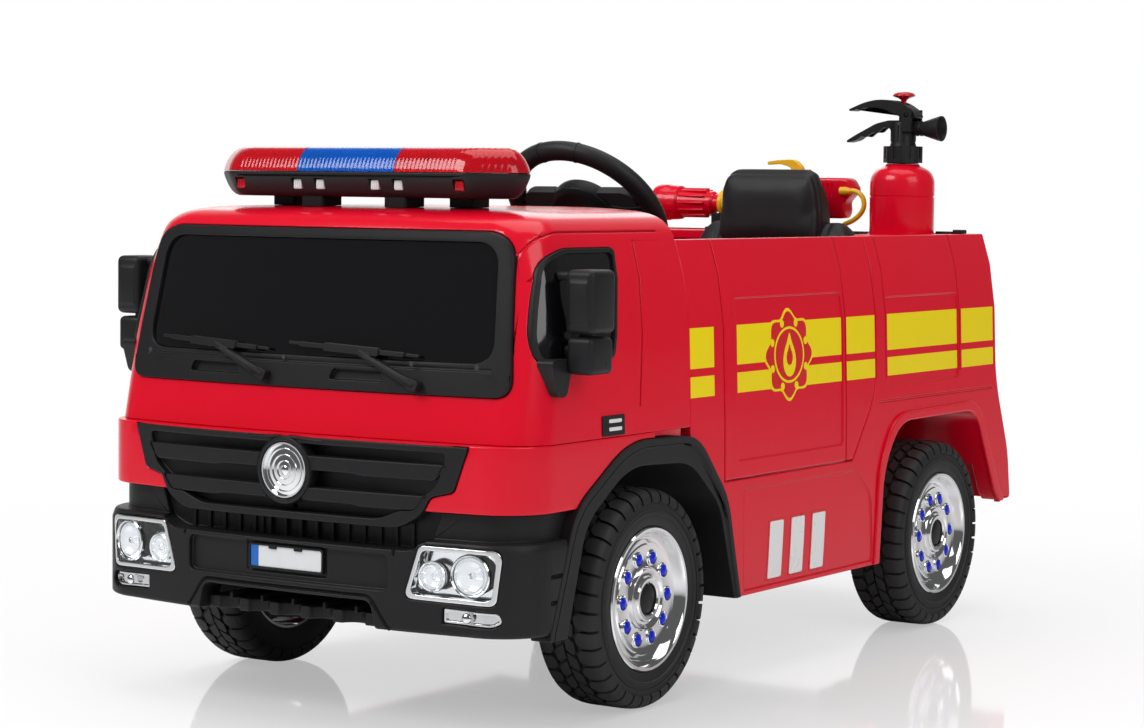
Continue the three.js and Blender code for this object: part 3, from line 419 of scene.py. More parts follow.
def roundedOutline(corners, steps=6):
    points = []
    for i, (a, b, *rest) in enumerate(corners):
        corner = Vector((a, b))
        rounding = rest[0] if rest else 0
        before = Vector(corners[i - 1][:2]) - corner
        after = Vector(corners[(i + 1) % len(corners)][:2]) - corner
        reach = min(rounding, before.length * 0.48, after.length * 0.48)
        if reach <= 0:
            points.append(corner)
            continue
        start = corner + before.normalized() * reach
        end = corner + after.normalized() * reach
        for step in range(steps + 1):
            t = step / steps
            points.append(start * (1 - t) ** 2 + corner * 2 * t * (1 - t) + end * t ** 2)
    return points


def grown(corners, distance):
    points = [Vector(corner[:2]) for corner in corners]
    area = sum(p.x * q.y - q.x * p.y for p, q in zip(points, points[1:] + points[:1]))
    by = math.copysign(distance, area) if distance > 0 else -math.copysign(distance, area)
    moved = []
    for i, (a, b, *rest) in enumerate(corners):
        into = (points[i] - points[i - 1]).normalized()
        out = (points[(i + 1) % len(points)] - points[i]).normalized()
        cross = into.x * out.y - into.y * out.x
        along = 0 if abs(cross) < 1e-6 else (1 - into.dot(out)) / cross
        moved.append((a + into.y * by + into.x * along * by, b - into.x * by + into.y * along * by, *rest))
    return moved


def asObject(bm, name="work"):
    mesh = bpy.data.meshes.new(name)
    bm.to_mesh(mesh)
    bm.free()
    obj = bpy.data.objects.new(name, mesh)
    scene.collection.objects.link(obj)
    return obj


def edited(obj):
    bm = bmesh.new()
    bm.from_mesh(obj.data)
    return bm


def kept(bm, obj):
    bm.to_mesh(obj.data)
    bm.free()
    return obj


def movedVerts(made):
    return [item for item in made["geom"] if isinstance(item, bmesh.types.BMVert)]


def prism(corners, axis, low, high, steps=6):
    bm = bmesh.new()
    outline = roundedOutline(corners, steps)
    face = bm.faces.new([bm.verts.new(onAxis(axis, p.x, p.y, low)) for p in outline])
    made = bmesh.ops.extrude_face_region(bm, geom=[face])
    bmesh.ops.translate(bm, verts=movedVerts(made), vec=onAxis(axis, 0, 0, high - low))
    bmesh.ops.recalc_face_normals(bm, faces=bm.faces[:])
    return asObject(bm)


def block(xs, ys, zs):
    bm = bmesh.new()
    middle = Vector((sum(xs), sum(ys), sum(zs))) / 2
    size = (xs[1] - xs[0], ys[1] - ys[0], zs[1] - zs[0])
    bmesh.ops.create_cube(bm, size=1, matrix=Matrix.Translation(middle) @ Matrix.Diagonal((*size, 1)))
    return asObject(bm)


def lathe(profile, segments=64, closed=False):
    bm = bmesh.new()
    verts = [bm.verts.new((radius, 0, height)) for radius, height in profile]
    pairs = list(zip(verts, verts[1:])) + ([(verts[-1], verts[0])] if closed else [])
    edges = [bm.edges.new(pair) for pair in pairs]
    bmesh.ops.spin(bm, geom=verts + edges, cent=(0, 0, 0), axis=(0, 0, 1), dvec=(0, 0, 0), angle=math.tau,
                   steps=segments, use_merge=True, use_duplicate=False)
    bmesh.ops.remove_doubles(bm, verts=bm.verts[:], dist=0.001)
    bmesh.ops.recalc_face_normals(bm, faces=bm.faces[:])
    return asObject(bm)


def rod(radius, low, high, segments=32, edge=0.6):
    profile = [(0, low), (radius - edge, low), (radius, low + edge), (radius, high - edge),
               (radius - edge, high), (0, high)]
    return lathe(profile, segments)


def loft(rings):
    bm = bmesh.new()
    loops = []
    for ring in rings:
        verts = [bm.verts.new(point) for point in ring]
        loops.append([bm.edges.new(pair) for pair in zip(verts, verts[1:] + verts[:1])])
    for lower, upper in zip(loops, loops[1:]):
        bmesh.ops.bridge_loops(bm, edges=lower + upper)
    bmesh.ops.contextual_create(bm, geom=loops[0])
    bmesh.ops.contextual_create(bm, geom=loops[-1])
    bmesh.ops.recalc_face_normals(bm, faces=bm.faces[:])
    return asObject(bm)


def moved(obj, place=(0, 0, 0), turn=None):
    obj.data.transform(Matrix.Translation(place) @ (turn.to_4x4() if turn else Matrix()))
    return obj


def turnedBy(degrees, axis):
    return Matrix.Rotation(math.radians(degrees), 4, axis)


def ringOf(count, obj, start=0.0):
    turned = []
    for number in range(count):
        angle = start + math.tau * number / count
        turned.append(moved(copied(obj), turn=Matrix.Rotation(angle, 4, "Z")))
    bpy.data.objects.remove(obj)
    return turned


def beveled(bm, edges, offset, segments):
    bmesh.ops.bevel(bm, geom=edges, offset=offset, offset_type="OFFSET", affect="EDGES", segments=segments,
                    profile=0.5, material=-1, clamp_overlap=True)


toX = turnedBy(90, "Y")
toFront = turnedBy(90, "X")


def combined(base, operation, others):
    for other in others:
        modifier = base.modifiers.new("combine", "BOOLEAN")
        modifier.object = other
        modifier.operation = operation
        modifier.solver = "MANIFOLD"
    result = bpy.data.meshes.new_from_object(base.evaluated_get(bpy.context.evaluated_depsgraph_get()))
    base.modifiers.clear()
    base.data = result
    for other in others:
        bpy.data.objects.remove(other)
    return base


def cut(base, *others):
    return combined(base, "DIFFERENCE", others)


def meet(base, *others):
    return combined(base, "INTERSECT", others)


def joined(base, *others):
    return combined(base, "UNION", others)


def merged(base, *others):
    bm = edited(base)
    for other in others:
        bm.from_mesh(other.data)
        bpy.data.objects.remove(other)
    return kept(bm, base)


def copied(obj):
    twin = obj.copy()
    twin.data = obj.data.copy()
    scene.collection.objects.link(twin)
    return twin


def mirrored(obj):
    bm = edited(obj)
    bmesh.ops.scale(bm, verts=bm.verts[:], vec=(-1, 1, 1))
    bmesh.ops.reverse_faces(bm, faces=bm.faces[:])
    return kept(bm, obj)


def piece(name, obj, finishName, body, replaces=(), bevel=1.0, segments=2, angle=32, sharp=38, clean=0.05):
    bm = edited(obj)
    if clean:
        bmesh.ops.remove_doubles(bm, verts=bm.verts[:], dist=clean)
        bmesh.ops.dissolve_degenerate(bm, edges=bm.edges[:], dist=clean)
    bmesh.ops.scale(bm, verts=bm.verts[:], vec=(mm, mm, mm))
    for face in bm.faces:
        face.smooth = True
    kept(bm, obj)
    obj.name = obj.data.name = name
    if bevel:
        rounding = obj.modifiers.new("edges", "BEVEL")
        rounding.width = bevel * mm
        rounding.segments = segments
        rounding.limit_method = "ANGLE"
        rounding.angle_limit = math.radians(angle)
        rounding.use_clamp_overlap = False
        rounding.miter_outer = "MITER_ARC"
        weighted = obj.modifiers.new("normals", "WEIGHTED_NORMAL")
        weighted.keep_sharp = True
    else:
        obj.data.set_sharp_from_angle(angle=math.radians(sharp))
    obj.data.materials.clear()
    obj.data.materials.append(finishes[finishName])
    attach(obj, body)
    if replaces:
        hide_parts(*replaces)
    return obj


def pair(name, made, finishName, body, replaces=(), **options):
    twin = mirrored(copied(made))
    for side, obj in (("left", made), ("right", twin)):
        named, carrier, *nodes = (text.replace("{side}", side) for text in (name, body, *replaces))
        piece(named, obj, finishName, carrier, nodes, **options)

# ---- the hose, a free cord from the water gun back into the shelf

hoseSpec = {
    "radius": 3.4,
    "from": Vector((0, rearAxleY + 118, 543)),
    "route": [
        (90.3, -15.5, 19), (94.5, -15.5, 19.4), (99, -15.6, 18.8), (103.4, -15.7, 17), (107.6, -16, 13.9),
        (110.8, -16.2, 9.4), (112.4, -16.4, 3.8), (112.3, -16.4, -1.8), (110.5, -16.3, -6.8),
        (107, -16.1, -11.7), (102.5, -15.8, -16), (97.5, -15.5, -19.5), (92, -15.2, -22.4),
        (86.8, -14.7, -24.4), (81.8, -14.2, -26.7), (77, -14, -29.4), (72.4, -14, -32.6),
    ],
}


def makeHose(spec):
    points = [(spec["from"] + Vector(point)) * mm for point in spec["route"]]
    curve = bpy.data.curves.new("gunHose", "CURVE")
    curve.dimensions = "3D"
    curve.bevel_depth = spec["radius"] * mm
    curve.bevel_resolution = 6
    curve.resolution_u = 6
    curve.use_fill_caps = True
    spline = curve.splines.new("BEZIER")
    spline.bezier_points.add(len(points) - 1)
    for knot, point in zip(spline.bezier_points, points):
        knot.co = point
        knot.handle_left_type = knot.handle_right_type = "AUTO"
    hose = bpy.data.objects.new("gunHose", curve)
    scene.collection.objects.link(hose)
    curve.materials.append(finishes["hose"])
    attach(hose, "chassis")
    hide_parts("gun_hose")


makeHose(hoseSpec)

# ---- bodywork surfaces

sideLean = ((60, 0), (150, 0), (300, 2), (409, 6), (467, 14), (507, 26))
cabFace = {"front": -573, "raked from": 355, "rake": 0.175, "corner back": 15, "corner": 46, "wall": 6}


def leanAt(z):
    for (lowZ, low), (highZ, high) in zip(sideLean, sideLean[1:]):
        if z <= highZ:
            return low + (high - low) * max(0, z - lowZ) / (highZ - lowZ)
    return sideLean[-1][1]


def halfRing(half, front, cornerBack, corner, back, z, steps=10):
    bow = [(x / 6 * (half - corner), front + cornerBack * (x / 6) ** 2.2) for x in range(6)]
    cornerY = front + cornerBack
    arc = []
    for step in range(steps + 1):
        angle = math.radians(90 * step / steps)
        arc.append((half - corner + corner * math.sin(angle), cornerY + corner - corner * math.cos(angle)))
    side = [(half, cornerY + corner + (back - cornerY - corner) * t) for t in (0.2, 0.45, 0.7, 1.0)]
    return [(x, y, z) for x, y in bow + arc + side]


def fullRing(*place, **options):
    right = halfRing(*place, **options)
    left = [(-x, y, z) for x, y, z in reversed(right[1:])]
    return right + left


# Inset of the roof's edge at each height below the crown, as (drop from the crown, side inset, front inset).
crown = ((34, 0, 0), (28, 2.5, 1.2), (22, 6, 3.2), (17, 10.5, 6.5), (12.5, 16, 11), (9, 23, 17),
         (6.2, 33, 25), (4, 47, 36), (2.4, 66, 52), (1.2, 92, 75), (0.4, 125, 105), (0, 160, 140))


def frontAt(z):
    return cabFace["front"] + cabFace["rake"] * (z - cabFace["raked from"])


def cabSolid(inset, low=200):
    rings = []
    back = cabHigh.y + 40
    for z in (low, 250, 301, 340, 380, 409, 438, 467, 488):
        half = bodyHalf - leanAt(z) - inset
        rings.append(fullRing(half, frontAt(z) + inset, cabFace["corner back"], cabFace["corner"], back, z))
    edgeZ = roofZ - crown[0][0]
    for drop, sideIn, frontIn in crown:
        z = roofZ - drop - inset
        half = bodyHalf - leanAt(edgeZ) - sideIn - inset
        corner = cabFace["corner"] + frontIn * 0.1
        front = frontAt(edgeZ) + frontIn + inset
        rings.append(fullRing(half, front, cabFace["corner back"], corner, back, z))
    return loft(rings)


def noseRing(spec, inset, z):
    return fullRing(spec["half"] - inset, spec["middle"] + inset, spec["back"], spec["corner"], 0, z)


def noseSolid(spec, inset, levels):
    return loft([noseRing(spec, inset, z) for z in levels])


def boxSolid(inset, low=60, front=None, back=None):
    right = [(bodyHalf - lean - inset, z) for z, lean in sideLean if z >= low]
    corners = right + [(-x, z) for x, z in reversed(right)]
    return prism(corners, "y", (front or cabHigh.y - 60), (back or tailY + 20))


def archOutline(axleY, trim, by=0):
    points = []
    for degrees, clearance, *rounding in trim:
        angle = math.radians(degrees)
        reach = wheelRadius + clearance + by
        points.append((axleY + math.cos(angle) * reach, axleZ + math.sin(angle) * reach, *rounding))
    return points


def archTool(axleY, trim, by=0, low=-400, high=400):
    corners = archOutline(axleY, trim, by)
    return prism(corners + [(corners[-1][0], 0), (corners[0][0], 0)], "x", low, high, steps=8)


archTrim = {
    "outer": ((-7, 71), (32, 65, 24), (63, 74, 30), (107, 64, 40), (145, 75, 30), (184, 85)),
    "inner": ((-6.5, 57), (33, 46, 20), (63, 41, 26), (110, 38, 34), (145, 47, 26), (185, 50)),
    "proud": 3,
    "lip": 22,
    "liner": 4,
    "liner from": 156,
}
rearArch = [(9, 57), (15, 46), (58, 63, 30), (130, 81, 34), (150, 77, 30), (187, 62)]

# ---- cab

cabSpec = {
    "window": ((-403, 385, 8), (-379, 500, 8), (-484, 500, 34), (-518, 487, 30), (-530, 448, 30),
               (-539, 408, 20), (-535, 383, 12)),
    "screen half": bodyHalf - 50,
    "frame proud": 3,
    "seam": 0.4,
    "rear bow": 27,
}


def screenOutline(half, lower, upper, widerLow, widerHigh, rounding):
    return [(half + widerLow, lower, rounding[0]), (half + widerHigh, upper, rounding[1]),
            (-half - widerHigh, upper, rounding[1]), (-half - widerLow, lower, rounding[0])]


frameOutline = screenOutline(cabSpec["screen half"], 349, 517, 19, 2, (20, 34))
glassOutline = screenOutline(cabSpec["screen half"], 383, 506, -4, -14, (26, 26))


def frontOnly(corners):
    return prism(corners, "y", noseY - 60, cabFace["front"] + 130, steps=10)


def cabRear(extra=0):
    bow = cabHigh.y - cabSpec["rear bow"]
    corners = [(400, bow), (bodyHalf - 50, bow), (120, cabHigh.y + extra, 70), (-120, cabHigh.y + extra, 70),
               (-bodyHalf + 50, bow), (-400, bow), (-400, 400), (400, 400)]
    return prism(corners, "z", 0, 700, steps=12)


def makeCab():
    seam = cabSpec["seam"]
    wall = cabFace["wall"]
    shell = cut(cabSolid(0), cabSolid(wall, low=150))
    shell = cut(shell, block((-400, 400), (-800, 400), (0, beltZ + 0.1)), cabRear(),
                prism(grown(cabSpec["window"], seam), "x", -400, 400), frontOnly(grown(frameOutline, seam)),
                block((-bodyHalf + 40, bodyHalf - 40), (cabHigh.y - 50, 0), (0, roofZ - wall - 14)))
    # Shallow pressing behind the side window, and the raised line that frames it.
    for side in (1, -1):
        tool = cut(cabSolid(-5), cabSolid(1.6))
        reach = (min(0, side * 400), max(0, side * 400))
        outline = [(-352, 330, 16), (-336, 506, 20), (-337.4, 507, 20), (-353.4, 330, 16)]
        shell = cut(shell, meet(tool, prism(outline, "x", *reach)))
        line = [(-548, 392, 3), (-537, 476, 20), (-516, 508, 24), (-484, 516, 10), (-282, 516),
                (-282, 517.6), (-484, 517.6, 10), (-517, 509.6, 24), (-538.4, 476.6, 20),
                (-549.6, 392, 3)]
        shell = cut(shell, meet(cut(cabSolid(-5), cabSolid(1.0)), prism(line, "x", *reach)))
    piece("cabShell", shell, "red", "chassis", ["cab_shell"], bevel=1.4)

    frame = cut(cabSolid(-cabSpec["frame proud"]), cabSolid(wall, low=150))
    frame = cut(meet(frame, frontOnly(frameOutline)), frontOnly(grown(glassOutline, seam)))
    for low, high in ((-161, -89), (34, 103)):
        pocket = cut(cabSolid(-6), cabSolid(3))
        corners = [(low, 360, 3), (high, 360, 3), (high - 4, 371, 4), (low + 4, 371, 4)]
        frame = cut(frame, meet(pocket, frontOnly(corners)))
    ledge = cut(cabSolid(-6), cabSolid(-1.2))
    ledgeBand = [(-230, 375, 2), (230, 375, 2), (230, 378, 2), (-230, 378, 2)]
    frame = cut(frame, meet(ledge, frontOnly(ledgeBand)))
    piece("windscreenFrame", frame, "black", "chassis", ["windscreen_frame"], bevel=1.2)

    screen = cut(cabSolid(0.4), cabSolid(4, low=150))
    piece("windscreenPanel", meet(screen, frontOnly(glassOutline)), "glass", "chassis",
          ["windscreen_panel"], bevel=0.8)

    pane = meet(cut(cabSolid(1.5), cabSolid(5, low=150)), prism(cabSpec["window"], "x", bodyHalf - 70, 400))
    pair("sideWindow_{side}", pane, "glass", "chassis", ["side_window_{side}"], bevel=0.6)
    surround = cut(cabSolid(-1.6), cabSolid(2, low=150))
    surround = cut(meet(surround, prism(cabSpec["window"], "x", bodyHalf - 70, 400)),
                   prism(grown(cabSpec["window"], -4.5), "x", 0, 500))
    pair("windowSurround_{side}", surround, "black", "chassis", bevel=0.7)

    # A small screw recess each side of the cowl, and beside the wiper spindles.
    screws = []
    for x in (-215, -28, 140, 222):
        screws.append(moved(rod(2.6, 0, 1.4, 16, 0.4), (x, cabFace["front"] + 1.5, 380), toFront))
    piece("cowlScrews", merged(*screws), "grey", "chassis", bevel=0)
    print("cab made")


# ---- band, grille and badge below the screen

bandSpec = {"middle": noseY + 5, "half": bodyHalf, "back": 17, "corner": 62, "wall": 26, "bottom": 232,
            "top": beltZ}
grilleSpec = {
    "outline": [(222, 300), (-222, 300), (-206, 253, 5), (-180, 247, 5), (-170, 228, 10), (-144, 213, 12),
                (144, 213, 12), (170, 228, 10), (180, 247, 5), (206, 253, 5)],
    "depth": 22,
    "bars": ((264, 281), (232, 248)),
    "badge z": 264,
}


def makeBand():
    levels = (bandSpec["bottom"], 240, 262, 285, bandSpec["top"])
    band = noseSolid(bandSpec, 0, levels)
    inner = noseSolid(bandSpec, bandSpec["wall"], (220, 310))
    band = cut(band, inner, prism(grown(grilleSpec["outline"], 0.5), "y", noseY - 30,
                                  bandSpec["middle"] + 40),
               archTool(frontAxleY, archTrim["outer"], 0.3), block((-400, 400), (frontAxleY, 60), (0, 400)))
    piece("cabLowerBand", band, "red", "chassis", ["cab_lower_band"], bevel=1.6, segments=3)

    face = noseSolid(bandSpec, -2, (200, 310))
    inside = prism(grilleSpec["outline"], "y", noseY - 30, bandSpec["middle"] + grilleSpec["depth"])
    body = meet(face, inside)
    window = [(198, 293, 6), (-198, 293, 6), (-188, 260, 8), (-158, 236, 10), (-118, 221, 10),
              (118, 221, 10), (158, 236, 10), (188, 260, 8)]
    body = cut(body, prism(window, "y", noseY - 30, bandSpec["middle"] + grilleSpec["depth"] - 5))
    bars = []
    for low, high in grilleSpec["bars"]:
        lean = (high - 232) * 0.7 + 6
        outline = [(-158 - lean, high, 4), (158 + lean, high, 4), (146 + lean, low, 6), (96, low, 4),
                   (84, low + 2, 4), (-84, low + 2, 4), (-96, low, 4), (-146 - lean, low, 6)]
        bar = meet(noseSolid(bandSpec, -2.6, (200, 310)),
                   prism(outline, "y", noseY - 30, bandSpec["middle"] + 14))
        bars.append(bar)
    disc = moved(rod(36, 2, 18, 48, 1.5), (0, noseY + 18, grilleSpec["badge z"]), toFront)
    body = joined(body, *bars, disc)
    body = cut(body, moved(rod(30.3, -20, 6, 48, 0.2), (0, noseY + 5.5, grilleSpec["badge z"]), toFront))
    piece("grille", body, "black", "chassis", ["grille"], bevel=1.6, segments=3)

    # Honeycomb behind the bars, one shallow cell repeated.
    bm = bmesh.new()
    pitch = 6.4
    for row in range(13):
        for column in range(-31, 32):
            x = (column + 0.5 * (row % 2)) * pitch
            z = 224 + row * pitch * 0.86
            if abs(x) > 124 + (z - 224) * 0.98:
                continue
            y = bandSpec["middle"] + 14 + (abs(x) / 200) ** 2.2 * 6
            place = Matrix.Translation((x, y, z)) @ toFront @ turnedBy(30, "Z")
            made = bmesh.ops.create_circle(bm, segments=6, radius=pitch * 0.57, matrix=place)
            face = bm.faces.new(made["verts"])
            bmesh.ops.inset_region(bm, faces=[face], thickness=0.8, use_even_offset=True)
            bmesh.ops.translate(bm, verts=list(face.verts), vec=(0, 3, 0))
    bmesh.ops.remove_doubles(bm, verts=bm.verts[:], dist=0.25)
    bmesh.ops.recalc_face_normals(bm, faces=bm.faces[:])
    piece("grilleMesh", asObject(bm), "black", "chassis", bevel=0, clean=0)
    makeBadge()


def makeBadge():
    z = grilleSpec["badge z"]
    base = lathe([(0, 0), (29.6, 0), (29.8, 1.6), (29, 2.2), (0, 2.2)], 64)
    for radius, width, height in ((30, 3.2, 4.2), (23.5, 1.5, 3.2), (17, 1.5, 3.2), (10.5, 1.5, 3.2)):
        ridge = [(radius - width, 1.8), (radius - width * 0.75, height), (radius - width * 0.25, height),
                 (radius - 0.3, 1.8)]
        base = merged(base, lathe(ridge, 64, closed=True))
    base = merged(base, lathe([(0, 3.6), (3, 3.4), (5, 2.4), (5.4, 1.8), (0, 1.8)], 32))
    moved(base, (0, noseY + 5.2, z), toFront)
    piece("grilleBadge", base, "chrome", "chassis", ["grille_badge"], bevel=0)
    print("grille made")


# ---- bumper, lamps and plate

bumperSpec = {"middle": noseY, "half": bodyHalf + 3, "back": 17, "corner": 60, "bottom": 107, "top": 203,
              "wall": 32}
lampOutline = [(256, 140, 8), (262, 197, 12), (170, 198, 6), (152, 142, 12)]
recessOutline = [(133, 148, 8), (133, 186, 8), (-133, 186, 8), (-133, 148, 8)]
plateSpec = {"half": 50, "low": 157, "high": 184, "depth": 8, "blue": 11}
bumperLevels = (80, 107, 120, 150, 180, 203, 260)


def frontBand(corners):
    return prism(corners, "y", noseY - 20, noseY + 90, steps=8)


def engraved(base, outline, depth):
    return cut(base, cut(frontBand(outline), noseSolid(bumperSpec, depth, (60, 280))))


def bumperShell(inset, thickness):
    return cut(noseSolid(bumperSpec, inset, bumperLevels),
               noseSolid(bumperSpec, inset + thickness, (70, 270)))


def makeBumper():
    low, top = bumperSpec["bottom"], bumperSpec["top"]
    edges = ((low, 2.5), (low + 2, 0.6), (low + 4, 0), (150, 0), (top - 10, 0), (top - 2, 2), (top, 4))
    chamfered = loft([noseRing(bumperSpec, inset, z) for z, inset in edges])
    # The inner step behind the bumper's top seats the band, and its black face also fills the gap below the
    # grille as painted shade.
    bumper = joined(chamfered, noseSolid(bumperSpec, 13, (top - 6, bandSpec["bottom"] - 0.4)))
    tools = [noseSolid(bumperSpec, bumperSpec["wall"], (50, 300)),
             prism(grown(grilleSpec["outline"], 0.5), "y", noseY - 20, noseY + 28),
             frontBand([(124, 80), (112, 136, 10), (-112, 136, 10), (-124, 80)]),
             archTool(frontAxleY, archTrim["outer"], 0.3),
             block((-400, 400), (frontAxleY - 100, 60), (0, 400))]
    bumper = cut(bumper, *tools)
    dip = [(-190, 240), (-176, 200, 6), (-158, 191, 8), (158, 191, 8), (176, 200, 6), (190, 240)]
    bumper = cut(bumper, prism(dip, "y", noseY - 20, noseY + 33))
    bumper = engraved(bumper, recessOutline, 6)
    seat = plateSpec["half"] + 3
    under, over = plateSpec["low"] - 3, plateSpec["high"] + 3
    bumper = engraved(bumper, [(seat, under, 3), (seat, over, 3), (-seat, over, 3), (-seat, under, 3)], 8)
    for side in (1, -1):
        outline = [(side * x, z, r) for x, z, r in lampOutline]
        bumper = engraved(bumper, grown(outline, 0.4), 25)
        fog = ((197, 119.5, 2), (197, 136, 2), (258, 134, 8), (262, 122, 6), (252, 117.5, 4))
        bumper = engraved(bumper, [(side * x, z, r) for x, z, r in fog], 7)
        # Stepped grooves round each end, and the pressed line above the lip.
        for z in (139, 166):
            groove = block((side * 280 - 20, side * 280 + 20), (noseY + 78, frontAxleY - 150), (z, z + 3))
            bumper = cut(bumper, cut(groove, noseSolid(bumperSpec, 1.8, (60, 280))))
        slit = block((side * 140 - 0.7, side * 140 + 0.7), (noseY - 5, noseY + 20), (186, top + 5))
        bumper = cut(bumper, cut(slit, noseSolid(bumperSpec, 1.5, (60, 280))))
    line = [(143, 99), (122, 128, 8), (112, 142, 10), (-112, 142, 10), (-122, 128, 8), (-143, 99),
            (-141, 99), (-120, 127, 8), (-111, 140, 10), (111, 140, 10), (120, 127, 8), (141, 99)]
    bumper = engraved(bumper, line, 1.6)
    piece("frontBumper", bumper, "black", "chassis", ["front_bumper"], bevel=1.8, segments=3)

    skid = meet(noseSolid(bumperSpec, 12, (low + 0.6, 121)),
                block((-113, 113), (noseY, noseY + 105), (0, 200)))
    for number in range(5):
        x = (number - 2) * 42
        skid = cut(skid, moved(rod(15, -30, 30, 32), (x, noseY + 10, low - 1)))
    ribs = [block((x - 2, x + 2), (noseY + 17, noseY + 90), (119, 127)) for x in (-84, -42, 0, 42, 84)]
    piece("skidPlate", joined(skid, *ribs), "black", "chassis", ["skid_plate"], bevel=1.6)
    # Ribs behind the gap between grille and bumper, in front of a dark back sheet that is painted shade for
    # the gap.
    bars = [block((x - 2.5, x + 2.5), (noseY + 30, noseY + 36), (186, 232)) for x in range(-147, 148, 21)]
    # The back sheet is painted shade: a dark plate put where the gap shows only shadow.
    bars.append(block((-186, 186), (noseY + 35, noseY + 40), (184, 240)))
    piece("lowerGrilleRibsShadeSheet", merged(*bars), "black", "chassis", bevel=0.8)
    makeLamps()
    makePlate()
    print("bumper made")


lampSpec = {"reflectors": ((229, 170, 22.5), (183, 166, 16)), "frame": 5, "depth": 24}


def reflector(radius, x, z):
    depth = radius * 0.55
    profile = [(radius, 0), (radius - 1.2, 1.2), (radius - 2.4, 0)]
    for step in range(1, 10):
        angle = math.radians(step * 9)
        profile.append(((radius - 2.4) * math.cos(angle), -depth * math.sin(angle)))
    profile += [(0, -depth), (0, -depth - 1.5), (radius * 0.7, -depth), (radius, -4)]
    bowl = lathe(profile, 48)
    bulb = lathe([(0, -depth - 0.5), (3.4, -depth), (3.4, -3), (2.4, -1), (0, 0)], 24)
    return bowl, bulb, (x, noseY + 12 + (abs(x) / 288) ** 2.2 * 8, z)


def makeLamps():
    frame = meet(bumperShell(0.2, 9), frontBand(grown(lampOutline, -0.2)))
    frame = cut(frame, frontBand(grown(lampOutline, -lampSpec["frame"])))
    pair("headlightFrame_{side}", frame, "chrome", "chassis", bevel=0.9, segments=3)
    bowl = meet(bumperShell(17, lampSpec["depth"] - 17.5), frontBand(lampOutline))
    pieces, bulbs = [], []
    for x, z, radius in lampSpec["reflectors"]:
        made, bulb, place = reflector(radius, x, z)
        lean = turnedBy(8, "Z")
        for obj in (made, bulb):
            moved(obj, place, lean @ toFront)
        bowl = cut(bowl, moved(rod(radius - 2, -60, 60, 32), place, lean @ toFront))
        pieces.append(made)
        bulbs.append(bulb)
    fins = []
    for x in (156, 160):
        fins.append(meet(bumperShell(12, 6),
                         frontBand([(x, 150), (x + 1.6, 150), (x + 9, 190), (x + 7.4, 190)])))
    pair("headlightBowl_{side}", merged(bowl, *pieces, *fins), "silver", "chassis",
         ["headlight_bowl_{side}"], bevel=0)
    pair("headlightBulbs_{side}", merged(*bulbs), "clear", "chassis", bevel=0)
    lens = meet(bumperShell(0.5, 2), frontBand(grown(lampOutline, -lampSpec["frame"] + 1.5)))
    pair("headlightLens_{side}", lens, "clear", "chassis", ["headlight_lens_{side}"], bevel=0.5)
    fog = [(198, 120.5, 2), (198, 135, 2), (257, 133, 8), (260.5, 123, 6), (251, 118.5, 4)]
    body = cut(meet(bumperShell(3, 6), frontBand(fog)), frontBand(grown(fog, -2.5)))
    back = meet(bumperShell(5.5, 3.4), frontBand(grown(fog, -1)))
    bead = moved(lathe([(0, 4), (3, 3.4), (5, 2), (5.6, 0), (0, 0)], 32), (226, noseY + 16.5, 127),
                 turnedBy(8, "Z") @ toFront)
    pair("fogLamp_{side}", merged(body, back, bead), "silver", "chassis", bevel=0.5)


def makePlate():
    half, low, high, depth = (plateSpec[key] for key in ("half", "low", "high", "depth"))
    rim = [(half, low, 3), (half, high, 3), (-half, high, 3), (-half, low, 3)]
    holder = cut(meet(bumperShell(depth - 4, 3.5), frontBand(rim)), frontBand(grown(rim, -2.2)))
    clips = []
    for x in (-17, 17):
        clip = [(x - 5, high - 5, 1), (x + 5, high - 5, 1), (x + 5, high - 1, 1), (x - 5, high - 1, 1)]
        clips.append(meet(bumperShell(depth - 4.5, 4), frontBand(clip)))
    piece("plateHolder", merged(holder, *clips), "black", "chassis", bevel=0.5)
    inner = grown(rim, -2.4)
    face = meet(bumperShell(depth - 2.4, 2), frontBand(inner))
    piece("numberPlate", face, "plate", "chassis", ["number_plate"], bevel=0.3)
    start, end = -half + 2.4, -half + plateSpec["blue"] + 2
    band = [(start, low + 2.4, 1), (start, high - 2.4, 1), (end, high - 2.4), (end, low + 2.4)]
    piece("plateBand", meet(bumperShell(depth - 2.7, 0.6), frontBand(band)), "blueFilm", "chassis", bevel=0)

# ---- arch trims


def makeArchTrims():
    spec = archTrim
    outerX = bodyHalf + spec["proud"]
    flare = archTool(frontAxleY, spec["outer"], 0, bodyHalf - spec["lip"], outerX)
    step = archTool(frontAxleY, spec["outer"], -9, 0, outerX + 20)
    keep = archTool(frontAxleY, spec["outer"], -9, bodyHalf - spec["lip"], outerX - 1.2)
    flare = joined(cut(flare, step), keep)
    liner = archTool(frontAxleY, spec["inner"], spec["liner"], spec["liner from"], outerX - 5)
    trim = joined(flare, liner)
    trim = cut(trim, archTool(frontAxleY, spec["inner"], 0, 0, outerX + 5),
               block((0, 400), (-900, 200), (-10, 100)))
    pair("archTrim_{side}", trim, "black", "chassis", ["arch_trim_{side}"], bevel=1.4, segments=3)
    print("arch trims made")


# ---- rear body and doors

